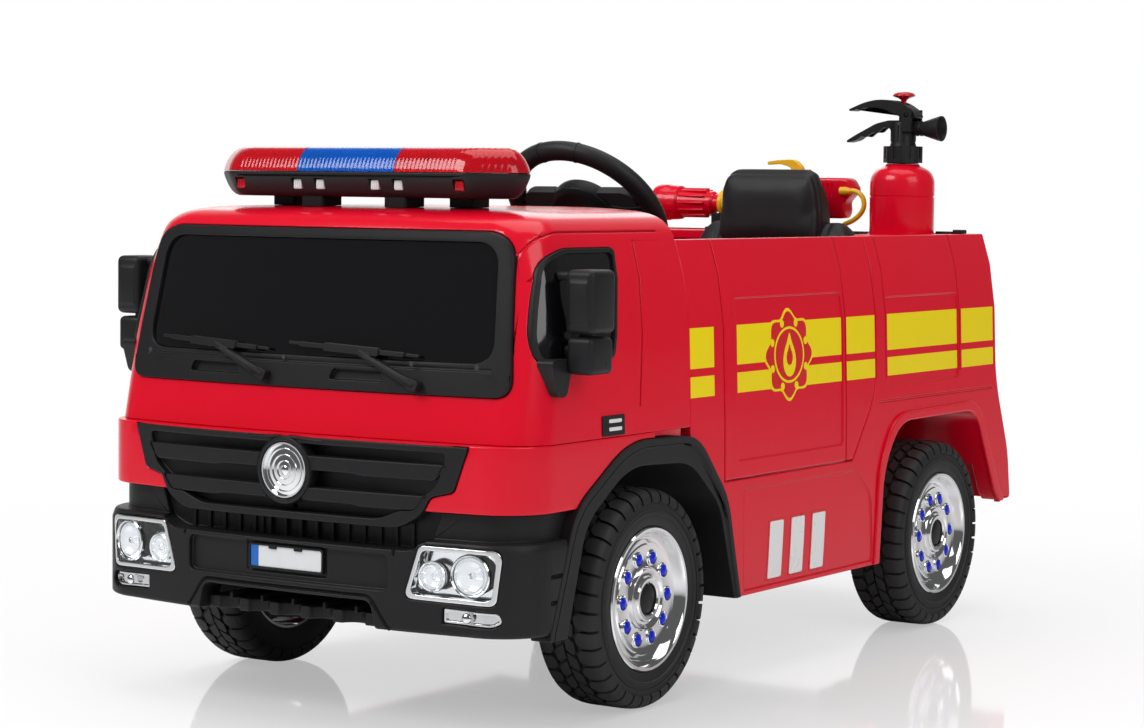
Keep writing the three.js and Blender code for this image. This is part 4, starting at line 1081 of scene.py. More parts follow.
rearSpec = {
    "wall": 14,
    "door": {"front": -173, "rear": rearAxleY - 187, "bottom": 234, "gap": 2.2},
    "back wall": rearAxleY + 165,
    "panel": 1.8,
    "flare": 2.6,
}
doorY = rearSpec["door"]
rearCorners = archOutline(rearAxleY, rearArch)
frontFoot = archOutline(frontAxleY, archTrim["outer"], 0.3)[0]
sillZ = 100
backWallY = rearSpec["back wall"]
deckZ = max(z for _, z, *_ in rearCorners) + rearSpec["wall"]
panels = {
    "door": [(-142, 256, 5), (115, 256, 5), (115, 440, 5), (-142, 440, 5)],
    "locker": [(236, 321, 5), (441, 321, 5), (441, 431, 5), (236, 431, 5)],
    "skirt": [(-128, 106, 4), (196, 106, 4), (190, 190, 12), (150, 222, 8), (-128, 222, 8)],
}
bands = ((365, 410), (333, 356))


def doorOutline(shrink):
    front, rear, bottom = doorY["front"], doorY["rear"], doorY["bottom"]
    corners = [(front, bottom), (rear - 64, bottom), (rear, bottom + 82, 30), (rear, bodyTop + 30),
               (front, bodyTop + 30)]
    return grown(corners, -shrink)


def pressing(corners, depth, side):
    tool = cut(boxSolid(-6), boxSolid(depth))
    return meet(tool, prism(corners, "x", min(0, side * 400), max(0, side * 400), steps=4))


def makeBoxBody():
    wall = rearSpec["wall"]
    front = cabHigh.y - 27
    arch = rearCorners[::-1]  # from the cab's side to the tail
    rearFoot, tailFoot = arch[0], arch[-1]
    outline = [(front, sillZ), (frontFoot[0], sillZ, 0), (rearFoot[0], sillZ, 3), *arch[1:-1],
               (tailFoot[0], tailFoot[1], 3), (tailY, tailFoot[1], 8), (tailY - 8, 213, 20),
               (backWallY + 2, 311, 30), (backWallY, bodyTop, 3), (front, bodyTop)]
    cavity = [(front - 30, 80), (rearFoot[0] - wall, 80), (arch[1][0] - wall - 2, arch[1][1]),
              (arch[2][0] - wall - 2, deckZ), (backWallY - wall, deckZ), (backWallY - wall, bodyTop + 30),
              (front - 30, bodyTop + 30)]
    hollow = [(tailFoot[0] - 44, 262), (tailFoot[0] - 22, 120), (tailY - 12, 120), (tailY - 22, 208),
              (backWallY - 2, 262)]
    body = meet(boxSolid(0, front=front - 20), prism(outline, "x", -400, 400, steps=8))
    body = cut(body, meet(boxSolid(wall, front=front - 40), prism(cavity, "x", -400, 400)),
               archTool(frontAxleY, archTrim["outer"], 0.3),
               prism(hollow, "x", -bodyHalf + 24, bodyHalf - 24),
               prism(doorOutline(0), "x", -400, 400, steps=8))
    shelfZ = bodyTop - 2
    bottle = middleOf("extinguisher_bottle")
    well = 45
    shelf = joined(block((-300, 300), (backWallY - 68, backWallY - 5), (bodyTop - 14, shelfZ)),
                   block((132, 300), (bottle.y - well - 7, backWallY - 63), (bodyTop - 14, shelfZ)),
                   moved(lathe([(0, 394), (48.4, 394), (48.4, shelfZ), (0, shelfZ)], 64),
                         (bottle.x, bottle.y, 0)))
    shelf = meet(shelf, boxSolid(wall - 1))
    body = joined(body, shelf)
    body = cut(body, moved(lathe([(0, 400), (well, 400), (well, 560), (0, 560)], 64),
                           (bottle.x, bottle.y, 0)),
               block((-151, 151), (rearFoot[0] - 30, tailY + 10), (0, 150.6)))
    # Flared edge over each rear wheel, the pressed locker panel, skirt and the seams between panels.
    for side in (1, -1):
        body = cut(body, pressing(panels["locker"], rearSpec["panel"], side),
                   pressing(panels["skirt"], 1.6, side))
        for y in (231, 446):
            seam = [(y - 0.7, 330), (y + 0.7, 330), (y + 0.7, bodyTop + 20), (y - 0.7, bodyTop + 20)]
            body = cut(body, pressing(seam, 1.5, side))
        upper = [(212, 300, 6), (backWallY - 12, 300, 6), (backWallY - 12, 303, 6), (212, 303, 6)]
        body = cut(body, pressing(upper, 1.2, side))
    piece("boxBody", body, "red", "chassis", ["box_body"], bevel=1.4, segments=3)
    gunY, gunZ = middleOf("gun_body").y, hoseSpec["from"].z
    for x, node in ((-120, "front"), (30, "rear")):
        cradle = block((x - 8, x + 8), (gunY - 14, gunY + 14), (shelfZ - 1, gunZ - 12))
        bore = lathe([(0, -20), (19.5, -20), (19.5, 20), (0, 20)], 48)
        cradle = cut(cradle, moved(bore, (x, gunY, gunZ), toX))
        piece(f"gunCradle_{node}", cradle, "black", "chassis", bevel=1.0)
    flare = archTool(rearAxleY, rearArch, 15, bodyHalf - 6, bodyHalf + rearSpec["flare"])
    flare = cut(flare, archTool(rearAxleY, rearArch, 0, 0, 400), block((0, 400), (0, 900), (-50, sillZ)),
                block((0, 400), (tailY - 60, 900), (-50, 146)))
    pair("rearArchFlare_{side}", flare, "red", "chassis", bevel=2.2, segments=3)
    print("rear body made")


def makeDoors():
    wall = rearSpec["wall"]
    door = meet(cut(boxSolid(0), boxSolid(wall)), prism(doorOutline(doorY["gap"]), "x", 100, 400, steps=8))
    door = cut(door, pressing(panels["door"], rearSpec["panel"], 1))
    door = cut(door, pressing([(122, 200), (123.4, 200), (123.4, 600), (122, 600)], 1.5, 1))
    inside = cut(boxSolid(wall - 3), boxSolid(wall + 5))
    door = cut(door, meet(inside, prism([(-140, 262, 14), (110, 262, 14), (110, 480, 14), (-140, 480, 14)],
                                        "x", 100, 400)))
    low = boxMm("door_left")[0]
    pin = moved(rod(2, low.z, doorY["bottom"] + 6, 24, 0.3), (279.5, -164.5, 0))
    pair("door_{side}", joined(door, pin), "red", "door_{side}", ["door_{side}"], bevel=1.4, segments=3)
    pull = meet(cut(boxSolid(0.1), boxSolid(1.9)),
                prism([(78, 446, 5), (112, 446, 5), (112, 458, 5), (78, 458, 5)], "x", 100, 400))
    pair("doorPull_{side}", pull, "red", "door_{side}", bevel=0.6)
    print("doors made")


# ---- films on the sides

badgeSpec = {"y": -18, "z": 371, "wide": 55, "high": 50, "lobes": 8, "depth": 0.09}


def film(name, corners, inset, finishName, body, side, steps=6):
    shell = cut(boxSolid(inset - 0.28), boxSolid(inset + 0.3))
    made = meet(shell, prism(corners, "x", 0, 400, steps=steps))
    made = made if side > 0 else mirrored(made)
    return piece(name, made, finishName, body, bevel=0, clean=0.01)


def lobed(scale, wave, points=96):
    spec = badgeSpec
    outline = []
    for step in range(points):
        angle = math.tau * step / points
        reach = scale * (1 + wave * math.cos(spec["lobes"] * angle))
        outline.append((spec["y"] + spec["wide"] * reach * math.cos(angle),
                        spec["z"] + spec["high"] * reach * math.sin(angle)))
    return outline


def flame(scale):
    y, z = badgeSpec["y"], badgeSpec["z"]
    half = [(0, 30), (5, 17), (13, 6), (17, -7), (14, -19), (6, -27)]
    whole = half + [(-a, b) for a, b in half[:0:-1]]
    return [(y + a * scale, z + b * scale, 8) for a, b in whole]


def makeFilms():
    spans = {"frontPost": (-247, -195, 0, "chassis"), "door": (-142, 115, 1.8, "door"),
             "doorRear": (125, 200, 0, "door"),
             "locker": (236, 441, None, "chassis"), "tail": (451, 549, 0, "chassis")}
    depth = rearSpec["panel"]
    for side, sign in sides:
        for label, (front, rear, inset, carrier) in spans.items():
            body = f"door_{side}" if carrier == "door" else "chassis"
            for number, (low, high) in enumerate(bands):
                level = inset if inset is not None else depth
                corners = [(front, low), (rear, low), (rear, high), (front, high)]
                film(f"stripe_{label}_{number + 1}_{side}", corners, level, "stripe", body, sign)
        wave = badgeSpec["depth"]
        layers = (lobed(1.0, wave), lobed(0.93, wave), lobed(0.66, 0), lobed(0.6, 0), flame(0.95),
                  flame(0.45))
        for number, outline in enumerate(layers, 1):
            finishName = "stripe" if number % 2 else "redFilm"
            film(f"emblem_{number}_{side}", outline, depth - 0.2 * number, finishName, f"door_{side}", sign,
                 steps=4)
        for number in range(8):
            angle = math.tau * (number + 0.5) / 8
            y = badgeSpec["y"] + badgeSpec["wide"] * 0.79 * math.cos(angle)
            z = badgeSpec["z"] + badgeSpec["high"] * 0.79 * math.sin(angle)
            turns = [math.tau * step / 20 for step in range(20)]
            dot = [(y + 4.6 * math.cos(turn), z + 4.6 * math.sin(turn)) for turn in turns]
            film(f"emblemDot_{number + 1}_{side}", dot, depth - 0.6, "stripe", f"door_{side}", sign)
        for number in range(3):
            start = -70 + number * 52
            bar = [(start, 113, 3), (start + 32, 113, 3), (start + 38, 179, 3), (start + 6, 179, 3)]
            film(f"sideBarEdge_{number + 1}_{side}", grown(bar, 3), 1.6, "redFilm", "chassis", sign)
            film(f"sideBar_{number + 1}_{side}", bar, 1.35, "white", "chassis", sign)
    print("films made")


makeCab()
makeBand()
makeBumper()
makeArchTrims()
makeBoxBody()
makeDoors()
makeFilms()

# ---- wheels

tyreSpec = {
    "width": 78,
    "groove": 4.6,
    "pitches": 36,
    "gap": 1.7,
    # (distance from the middle plane, radius) from the crown over the shoulder and down the side
    "shoulder": ((15, 120), (20, 119.9), (25, 119.5), (30, 118.4), (34, 116.4), (36.6, 113.4), (38, 109.6),
                 (38.4, 106)),
}
carcass = [(79, -8), (79.6, -4.2), (82, -2.6), (89.6, -2.0), (90.6, -0.6), (93.6, -0.6), (94.8, -1.8),
           (101, -2.2), (106, -3.4), (110.4, -5.8), (113.4, -9.4), (114.8, -14), (115.2, -22),
           (115.4, -39), (115.2, -56), (114.8, -64), (113.2, -69), (109, -74), (103, -76.6), (94, -77.6),
           (84, -76.6), (80, -74), (79, -70)]
rimSpec = {
    "jewels": 10,
    "jewel ring": 45.5,
    "jewel": [(0, 3.6), (2.6, 3.3), (4.8, 2.4), (6.2, 1.2), (6.6, 0.2), (6.6, -0.6), (0, -0.6)],
    "bezel": [(6.4, -0.4), (6.8, 1.5), (7.6, 2.0), (8.5, 1.4), (8.9, -0.4)],
    "face": -10,
    "profile": [(6.8, -10), (17.4, -10), (17.8, -5.4), (19, -4), (22.5, -3.6), (24.5, -5), (25.5, -8),
                (28, -8.6), (31, -5.6), (33, -5.2), (34.4, -7), (35.4, -9.4), (37, -10), (54, -10),
                (57, -9), (59, -8.4), (60.6, -9.6), (62, -13), (64.5, -15), (67, -14), (69.5, -10.4),
                (71.5, -6.4), (72.8, -3.4), (74.6, -2.0), (77.4, -1.8), (78.8, -3.4), (79, -6), (79, -72),
                (76.4, -72), (76, -32), (66, -30), (36, -27), (26, -30), (22, -68), (6.8, -68)],
    "cap": [(0, -4.6), (6, -4.8), (12, -5.6), (15.4, -7), (16.8, -9), (17.2, -12), (0, -12)],
}


def treadBlock(bm, rows):
    grid = []
    for across, radius, start, end in rows:
        line = []
        for share in (0, 0.5, 1):
            angle = math.radians(start + (end - start) * share)
            line.append(bm.verts.new((radius * math.cos(angle), radius * math.sin(angle), across)))
        grid.append(line)
    faces = []
    for upper, lower in zip(grid, grid[1:]):
        faces += [bm.faces.new((upper[i], upper[i + 1], lower[i + 1], lower[i])) for i in range(2)]
    made = bmesh.ops.extrude_face_region(bm, geom=faces)
    for vert in movedVerts(made):
        radial = Vector((vert.co.x, vert.co.y, 0)).normalized()
        beyond = max(0, 112 - radial.dot(vert.co)) / 8
        sideways = Vector((0, 0, -math.copysign(beyond, vert.co.z)))
        vert.co += (sideways - radial * (1 - beyond * 0.6)) * tyreSpec["groove"]
    return made


def makeTyreMesh():
    spec = tyreSpec
    bm = bmesh.new()
    pitch = 360 / spec["pitches"]
    gap = spec["gap"] / 2
    for side in (1, -1):
        shift = 0 if side > 0 else pitch / 2
        rows = []
        for number, (across, radius) in enumerate(spec["shoulder"]):
            slant = (across - 15) * 0.06
            narrow = 2.4 if number == 0 else 0
            rows.append((side * across, radius, shift + gap + narrow + slant,
                         shift + pitch - gap - narrow + slant))
        treadBlock(bm, rows)
        rows = [(side * 12.6, 120, shift + pitch * 0.5 + gap + 1.6, shift + pitch * 1.5 - gap - 1.6),
                (side * 9.5, 120, shift + pitch * 0.5 + gap, shift + pitch * 1.5 - gap),
                (side * 1.2, 120, shift + pitch * 0.2 + gap, shift + pitch * 1.2 - gap)]
        treadBlock(bm, rows)
    bmesh.ops.recalc_face_normals(bm, faces=bm.faces[:])
    everything = bm.verts[:] + bm.edges[:] + bm.faces[:]
    more = spec["pitches"] - 1
    bmesh.ops.spin(bm, geom=everything, cent=(0, 0, 0), axis=(0, 0, 1), dvec=(0, 0, 0),
                   angle=math.tau * more / spec["pitches"], steps=more, use_duplicate=True)
    tread = moved(asObject(bm), (0, 0, -spec["width"] / 2))
    body = lathe(carcass, 144, closed=True)
    line = lathe([(97.6, -1.6), (98, -0.9), (98.6, -0.9), (99, -1.8), (98.4, -3)], 144, closed=True)
    return merged(body, tread, line)


def makeRimMeshes():
    spec = rimSpec
    rim = lathe(spec["profile"], 128, closed=True)
    jewels, bezels = [], []
    for number in range(spec["jewels"]):
        angle = math.tau * (number + 0.5) / spec["jewels"]
        place = (spec["jewel ring"] * math.cos(angle), spec["jewel ring"] * math.sin(angle), spec["face"])
        jewels.append(moved(lathe(spec["jewel"], 20), place))
        bezels.append(moved(lathe(spec["bezel"], 28, closed=True), place))
    return merged(rim, *bezels), merged(jewels[0], *jewels[1:]), lathe(spec["cap"], 48)


def makeWheels():
    tyre = makeTyreMesh()
    rim, jewels, cap = makeRimMeshes()
    for axle in ("front", "rear"):
        node = f"tyre_{axle}_left"
        outer = boxMm(node)[1].x
        centre = middleOf(node)
        for name, source, finishName in (("tyre", tyre, "rubber"), ("rim", rim, "chrome"),
                                         ("rimJewels", jewels, "jewel"), ("hubCap", cap, "black")):
            made = moved(copied(source), (outer, centre.y, centre.z), toX)
            nodes = [f"{name}_{axle}_{{side}}"] if name in ("tyre", "rim") else []
            pair(f"{name}_{axle}_{{side}}", made, finishName, f"wheel_{axle}_{{side}}", nodes,
                 bevel=0, sharp=30, clean=0.001)
    for source in (tyre, rim, jewels, cap):
        bpy.data.objects.remove(source)
    print("wheels made")


makeWheels()

# ---- mirrors and wipers

mirrorSpec = {"front": -512, "rear": -466, "split": 413, "low": 373, "high": 480, "foot": -518}


def roundedBlock(xs, ys, zs, radius, segments=5):
    obj = block(xs, ys, zs)
    bm = edited(obj)
    beveled(bm, bm.edges[:], radius, segments)
    return kept(bm, obj)


def makeMirrors():
    spec = mirrorSpec
    inner, outer = bodyHalf + 2, boxMm("mirror_left")[1].x
    front, rear = spec["front"], spec["rear"]
    upper = roundedBlock((inner, outer), (front, rear), (spec["split"] + 1.6, spec["high"]), 7)
    lower = roundedBlock((inner + 1.5, outer - 2), (front + 2, rear - 1),
                         (spec["low"], spec["split"] - 1.6), 6)
    neck = roundedBlock((inner + 3, inner + 14), (front + 8, rear - 8),
                        (spec["split"] - 8, spec["split"] + 8), 3, 3)
    ridge = roundedBlock((inner + 6, outer - 6), (front - 0.8, front + 4),
                         (spec["split"] + 12, spec["high"] - 12), 2, 3)
    glassPlaces = ((upper, 5, 3, spec["split"] + 7, spec["high"] - 6),
                   (lower, 6, 4, spec["low"] + 5, spec["split"] - 6))
    for obj, edge, deep, start, end in glassPlaces:
        cut(obj, roundedBlock((inner + 5, outer - edge), (rear - deep, rear + 9), (start, end), 2.5, 3))
    middle = spec["foot"]
    foot = [(middle - 7, 350, 7), (middle - 20, 389, 10), (middle + 20, 389, 10), (middle + 10, 350, 9)]
    foot = prism(foot, "x", bodyHalf - 14, inner + 3, steps=8)
    arm = prism([(-498, 388, 4), (-500, 402, 6), (-486, 402, 6), (-492, 384, 6)], "x", bodyHalf - 14,
                inner + 7, steps=6)
    top = roundedBlock((bodyHalf - 26, inner + 6), (-498, -484), (468, 477), 3.4, 4)
    housing = joined(upper, lower, neck, ridge, cut(joined(foot, arm, top), cabSolid(-0.3)))
    screw = moved(rod(2, outer - 2.2, outer - 1.8, 16, 0.1), (0, (front + rear) / 2 + 8, spec["low"] + 10),
                  toX)
    pair("mirror_{side}", merged(housing, screw), "black", "chassis", ["mirror_{side}"], bevel=0, sharp=50)
    glass = roundedBlock((inner + 5.4, outer - 5.4), (rear - 4, rear - 1.4),
                         (spec["split"] + 7.4, spec["high"] - 6.4), 0.8, 2)
    small = roundedBlock((inner + 5.4, outer - 6.4), (rear - 5, rear - 2.6),
                         (spec["low"] + 5.4, spec["split"] - 6.4), 0.8, 2)
    pair("mirrorGlass_{side}", merged(glass, small), "chrome", "chassis", bevel=0)
    print("mirrors made")


wiperSpec = {
    "right": {"blade": ((-207, 396), (-48, 388)), "arm": ((-123, 391), (-47, 360))},
    "left": {"blade": ((-22, 396), (146, 388)), "arm": ((73, 390), (150, 357))},
    "off": 3.4,
}


def stroke(ends, halves):
    (x0, z0), (x1, z1) = ends
    along = Vector((x1 - x0, z1 - z0)).normalized()
    over = Vector((-along.y, along.x))
    start, end = Vector((x0, z0)), Vector((x1, z1))
    near, far = over * halves[0], over * halves[1]
    corners = [start + near, start - near, end - far, end + far]
    return [(corner.x, corner.y, min(halves) * 0.6) for corner in corners]


def between(ends, first, last):
    start, end = Vector(ends[0]), Vector(ends[1])
    return tuple(start.lerp(end, first)), tuple(start.lerp(end, last))


def onScreen(corners, low, high):
    shell = cut(cabSolid(-high), cabSolid(-low))
    return meet(shell, frontOnly(corners))


def makeWipers():
    off = wiperSpec["off"]
    for side in ("left", "right"):
        blade, arm = wiperSpec[side]["blade"], wiperSpec[side]["arm"]
        parts = [
            onScreen(stroke(blade, (1.6, 1.6)), off, off + 2.6),
            onScreen(stroke(between(blade, 0.10, 0.90), (2.6, 2.6)), off + 2.2, off + 5.2),
            onScreen(stroke(between(blade, 0.30, 0.72), (4.4, 4.4)), off + 2.6, off + 7.4),
            onScreen(stroke(arm, (2.6, 4.6)), off + 3.4, off + 8.4),
            onScreen(stroke(between(arm, 0.12, 0.96), (1.0, 2.0)), off + 8.0, off + 9.6),
            onScreen(stroke(between(arm, 0.86, 1.02), (5.6, 5.6)), off - 0.4, off + 9.2),
        ]
        piece(f"wiper_{side}", joined(*parts), "black", "chassis", [f"wiper_{side}"], bevel=0.7)
    print("wipers made")


# ---- light bar

barSpec = {"base": 577, "low": 550, "split": 65, "wall": 2.4, "seam": 0.4}
barLow, barHigh = boxMm("lightbar_base")
barFront, barBack, barHalf = barLow.y, barHigh.y, barHigh.x
barMiddle = (barFront + barBack) / 2


def barRing(inset, z):
    corners = []
    for x, y in ((1, 1), (-1, 1), (-1, -1), (1, -1)):
        end = (x * barHalf, barMiddle + y * 12, 10)
        shoulder = (x * (barHalf - 42), barBack if y > 0 else barFront, 14)
        corners += [end, shoulder] if x == y else [shoulder, end]
    return [(p.x, p.y, z) for p in roundedOutline(grown(corners, -inset), 8)]


def barLens(inset):
    levels = ((0, 0), (6, 1.6), (12, 4.2), (17, 7.4), (21, 11), (24, 15), (26, 20), (26.7, 27))
    rings = []
    for rise, back in levels:
        z = barSpec["base"] + barSpec["seam"] + rise
        rings.append(barRing(back + inset, z - inset if rise > 20 else z))
    return loft(rings)


def makeLightBar():
    spec = barSpec
    low = spec["low"]
    levels = ((low, 17), (low + 1.6, 13), (low + 5, 9), (low + 11, 5), (low + 19, 1.6), (low + 22, 0.6),
              (spec["base"] - 2, 0), (spec["base"], 0.6))
    base = loft([barRing(back, z) for z, back in levels])
    feet = []
    for x, back in ((-56, 15), (56, 15), (-120, 45), (120, 45)):
        start = barFront + back
        foot = roundedBlock((x - 15, x + 15), (start, start + 36), (roofZ - 14, low + 6), 4)
        feet.append(cut(foot, cabSolid(-0.3)))
    for x in (-37, 37, -68, 68, -147, 147):
        tool = roundedBlock((x - 6.6, x + 6.6), (barFront - 10, barFront + 8.4), (557, 569.6), 1.4, 3)
        base = cut(base, tool)
    line = block((-barHalf + 44, barHalf - 44), (barFront - 4, barFront + 1.1), (572, 573))
    base = cut(base, line)
    piece("lightBarBase", joined(base, *feet), "black", "chassis", ["lightbar_base"], bevel=0.9)
    for label, centres, finishName in (("white", (-37, 37, -68, 68), "plate"),
                                       ("red", (-147, 147), "button")):
        lamps = []
        for x in centres:
            lamps.append(roundedBlock((x - 5.6, x + 5.6), (barFront + 4.8, barFront + 9.4), (558, 568.8),
                                      1.6, 3))
            for rib in (x - 2.6, x, x + 2.6):
                lamps.append(roundedBlock((rib - 0.5, rib + 0.5), (barFront + 4.3, barFront + 5.4),
                                          (559.5, 567.4), 0.3, 2))
        piece(f"barLamps_{label}", merged(*lamps), finishName, "chassis", bevel=0)
    shell = cut(barLens(0), moved(barLens(spec["wall"]), (0, 0, -1.2)))
    split, seam = spec["split"], spec["seam"] / 2
    spans = (("barLens_blue", (-split, split), "blueLens", "lightbar_blue_lens"),
             ("barLens_red_left", (split + seam, 400), "redLens", "lightbar_red_lens_left"),
             ("barLens_red_right", (-400, -split - seam), "redLens", "lightbar_red_lens_right"))
    for name, xs, finishName, node in spans:
        made = meet(copied(shell), block(xs, (-800, 0), (0, 900)))
        piece(name, made, finishName, "chassis", [node], bevel=0.5)
    bpy.data.objects.remove(shell)
    # Silvered tray and dished reflectors under the lenses.
    tray = meet(barLens(4), block((-400, 400), (-800, 0), (spec["base"], spec["base"] + 3)))
    bowls = []
    for x in range(-150, 151, 50):
        dish = lathe([(13, 14), (13.6, 13), (9, 6), (4, 3), (0, 2.4), (0, 4.4), (4, 5), (8.4, 7.4),
                      (12.4, 14)], 32)
        bowls.append(moved(dish, (x, barMiddle, spec["base"] + 2)))
        bowls.append(moved(lathe([(0, 14), (2.4, 13), (3, 10), (3, 4), (0, 4)], 16),
                           (x, barMiddle, spec["base"] + 2)))
    for y in (barFront + 24, barBack - 24):
        bowls.append(block((-barHalf + 34, barHalf - 34), (y - 0.6, y + 0.6),
                           (spec["base"] + 2, spec["base"] + 13)))
    piece("barReflectors", merged(tray, *bowls), "silver", "chassis", bevel=0)
    print("light bar made")


makeMirrors()
makeWipers()
makeLightBar()

# ---- steering wheel

wheelSpec = {"tilt": 42, "ring": 95, "tube": 12.6, "stitches": 132}
wheelCentre = Vector((0, -25, 536))


def onColumn(obj):
    return moved(obj, wheelCentre, turnedBy(-(90 - wheelSpec["tilt"]), "X"))


def makeSteeringWheel():
    spec = wheelSpec
    ring, tube = spec["ring"], spec["tube"]
    turns = [math.tau * step / 28 for step in range(28)]
    rim = lathe([(ring + tube * 0.98 * math.cos(a), tube * 0.9 * math.sin(a)) for a in turns], 128,
                closed=True)
    within, beyond = tube * 0.9, tube * 1.02
    for degrees in (-105, -75, 75, 105):
        angle = math.radians(degrees)
        collar = lathe([(within, -0.9), (beyond, -0.9), (beyond, 0.9), (within, 0.9)], 40, closed=True)
        collar.data.transform(Matrix.Diagonal((1, 0.94, 1, 1)))
        place = (ring * math.cos(angle), ring * math.sin(angle), 0)
        rim = merged(rim, moved(collar, place, Matrix.Rotation(angle, 4, "Z") @ toFront))
    piece("steeringRim", onColumn(rim), "leather", "steering", ["steering_wheel"], bevel=0)
    stitches = []
    for number in range(spec["stitches"]):
        angle = math.tau * number / spec["stitches"]
        stitch = roundedBlock((-0.5, 0.5), (-1.7, 1.7), (-0.35, 0.35), 0.3, 1)
        inner = ring - tube * 0.72
        place = (inner * math.cos(angle), inner * math.sin(angle), tube * 0.66)
        stitches.append(moved(stitch, place, Matrix.Rotation(angle + 0.5, 4, "Z") @ turnedBy(-40, "Y")))
    piece("rimStitching", onColumn(merged(stitches[0], *stitches[1:])), "grey", "steering", bevel=0)
    spokes = []
    tip = ring - tube * 0.4
    for degrees in (0, 180, 90):
        outline = [(38, -15, 6), (38, 15, 6), (60, 10, 20), (tip, 13, 3), (tip, -13, 3), (60, -10, 20)]
        spokes.append(moved(prism(outline, "z", -8, 4), turn=turnedBy(degrees, "Z")))
    hub = lathe([(0, -14), (38, -14), (44, -10), (45.5, -2), (44, 6), (40, 10), (32, 12), (26.2, 12.4),
                 (25.9, 4.6), (0, 4.6)], 72)
    piece("steeringHub", onColumn(joined(hub, *spokes)), "black", "steering", bevel=1.5, segments=3)
    outline = [(-82, -20, 14), (-70, -33, 20), (70, -33, 20), (82, -20, 14), (66, 20, 30), (30, 34, 30),
               (-30, 34, 30), (-66, 20, 30)]
    cover = prism(outline, "z", -6, 9.5, steps=10)
    bm = edited(cover)
    beveled(bm, [edge for edge in bm.edges if min(vert.co.z for vert in edge.verts) > 9], 7, 5)
    kept(bm, cover)
    cover = cut(cover, rod(45.8, 4, 30, 72, 0.2))
    piece("steeringCover", onColumn(cover), "grey", "steering", bevel=0, sharp=40)
    button = lathe([(0, 8.3), (24.6, 8.3), (25, 9), (25, 13), (24, 14.6), (21, 16), (13, 17.4), (0, 18)], 64)
    piece("hornButton", onColumn(button), "button", "horn", ["horn_button"], bevel=0)
    print("steering wheel made")


makeSteeringWheel()

# ---- padded seat

padSpec = {"voxel": 5, "pressure": 4, "frames": 20, "seam": 2.4, "seam width": 3.0, "relax": 8}


def applied(obj):
    result = bpy.data.meshes.new_from_object(obj.evaluated_get(bpy.context.evaluated_depsgraph_get()))
    obj.modifiers.clear()
    obj.data = result
    return obj


def inflated(obj, cap):
    spec = padSpec
    obj.data.transform(Matrix.Scale(mm, 4))
    voxels = obj.modifiers.new("voxels", "REMESH")
    voxels.mode = "VOXEL"
    voxels.voxel_size = spec["voxel"] * mm
    applied(obj)
    smooth = obj.modifiers.new("smooth", "SMOOTH")
    smooth.iterations = 4
    applied(obj)
    rest = [vert.co.copy() for vert in obj.data.vertices]
    cloth = obj.modifiers.new("pad", "CLOTH")
    cloth.settings.use_pressure = True
    cloth.settings.uniform_pressure_force = spec["pressure"]
    cloth.settings.effector_weights.gravity = 0
    cloth.point_cache.frame_end = spec["frames"]
    for frameNumber in range(1, spec["frames"] + 1):
        scene.frame_set(frameNumber)
    applied(obj)
    for vert, start in zip(obj.data.vertices, rest):
        shift = vert.co - start
        if shift.length > cap * mm:
            vert.co = start + shift.normalized() * cap * mm
    scene.frame_set(1)
    relaxed = obj.modifiers.new("relaxed", "SMOOTH")
    relaxed.iterations = spec["relax"]
    applied(obj)
    subdivide = obj.modifiers.new("subdivide", "SUBSURF")
    subdivide.levels = subdivide.render_levels = 1
    applied(obj)
    obj.data.transform(Matrix.Scale(1 / mm, 4))
    return obj


def creased(obj, seams):
    spec = padSpec
    for vert in obj.data.vertices:
        pull = 0
        for seam in seams:
            pull = max(pull, math.exp(-(seam(vert.co) / spec["seam width"]) ** 2))
        vert.co -= vert.normal * spec["seam"] * pull
    return obj


def padPiece(name, obj, body, nodes):
    made = piece(name, obj, "leather", body, nodes, bevel=0, sharp=180, clean=0)
    return made


seatLow, seatHigh = boxMm("seat")
headLow, headHigh = boxMm("headrest")


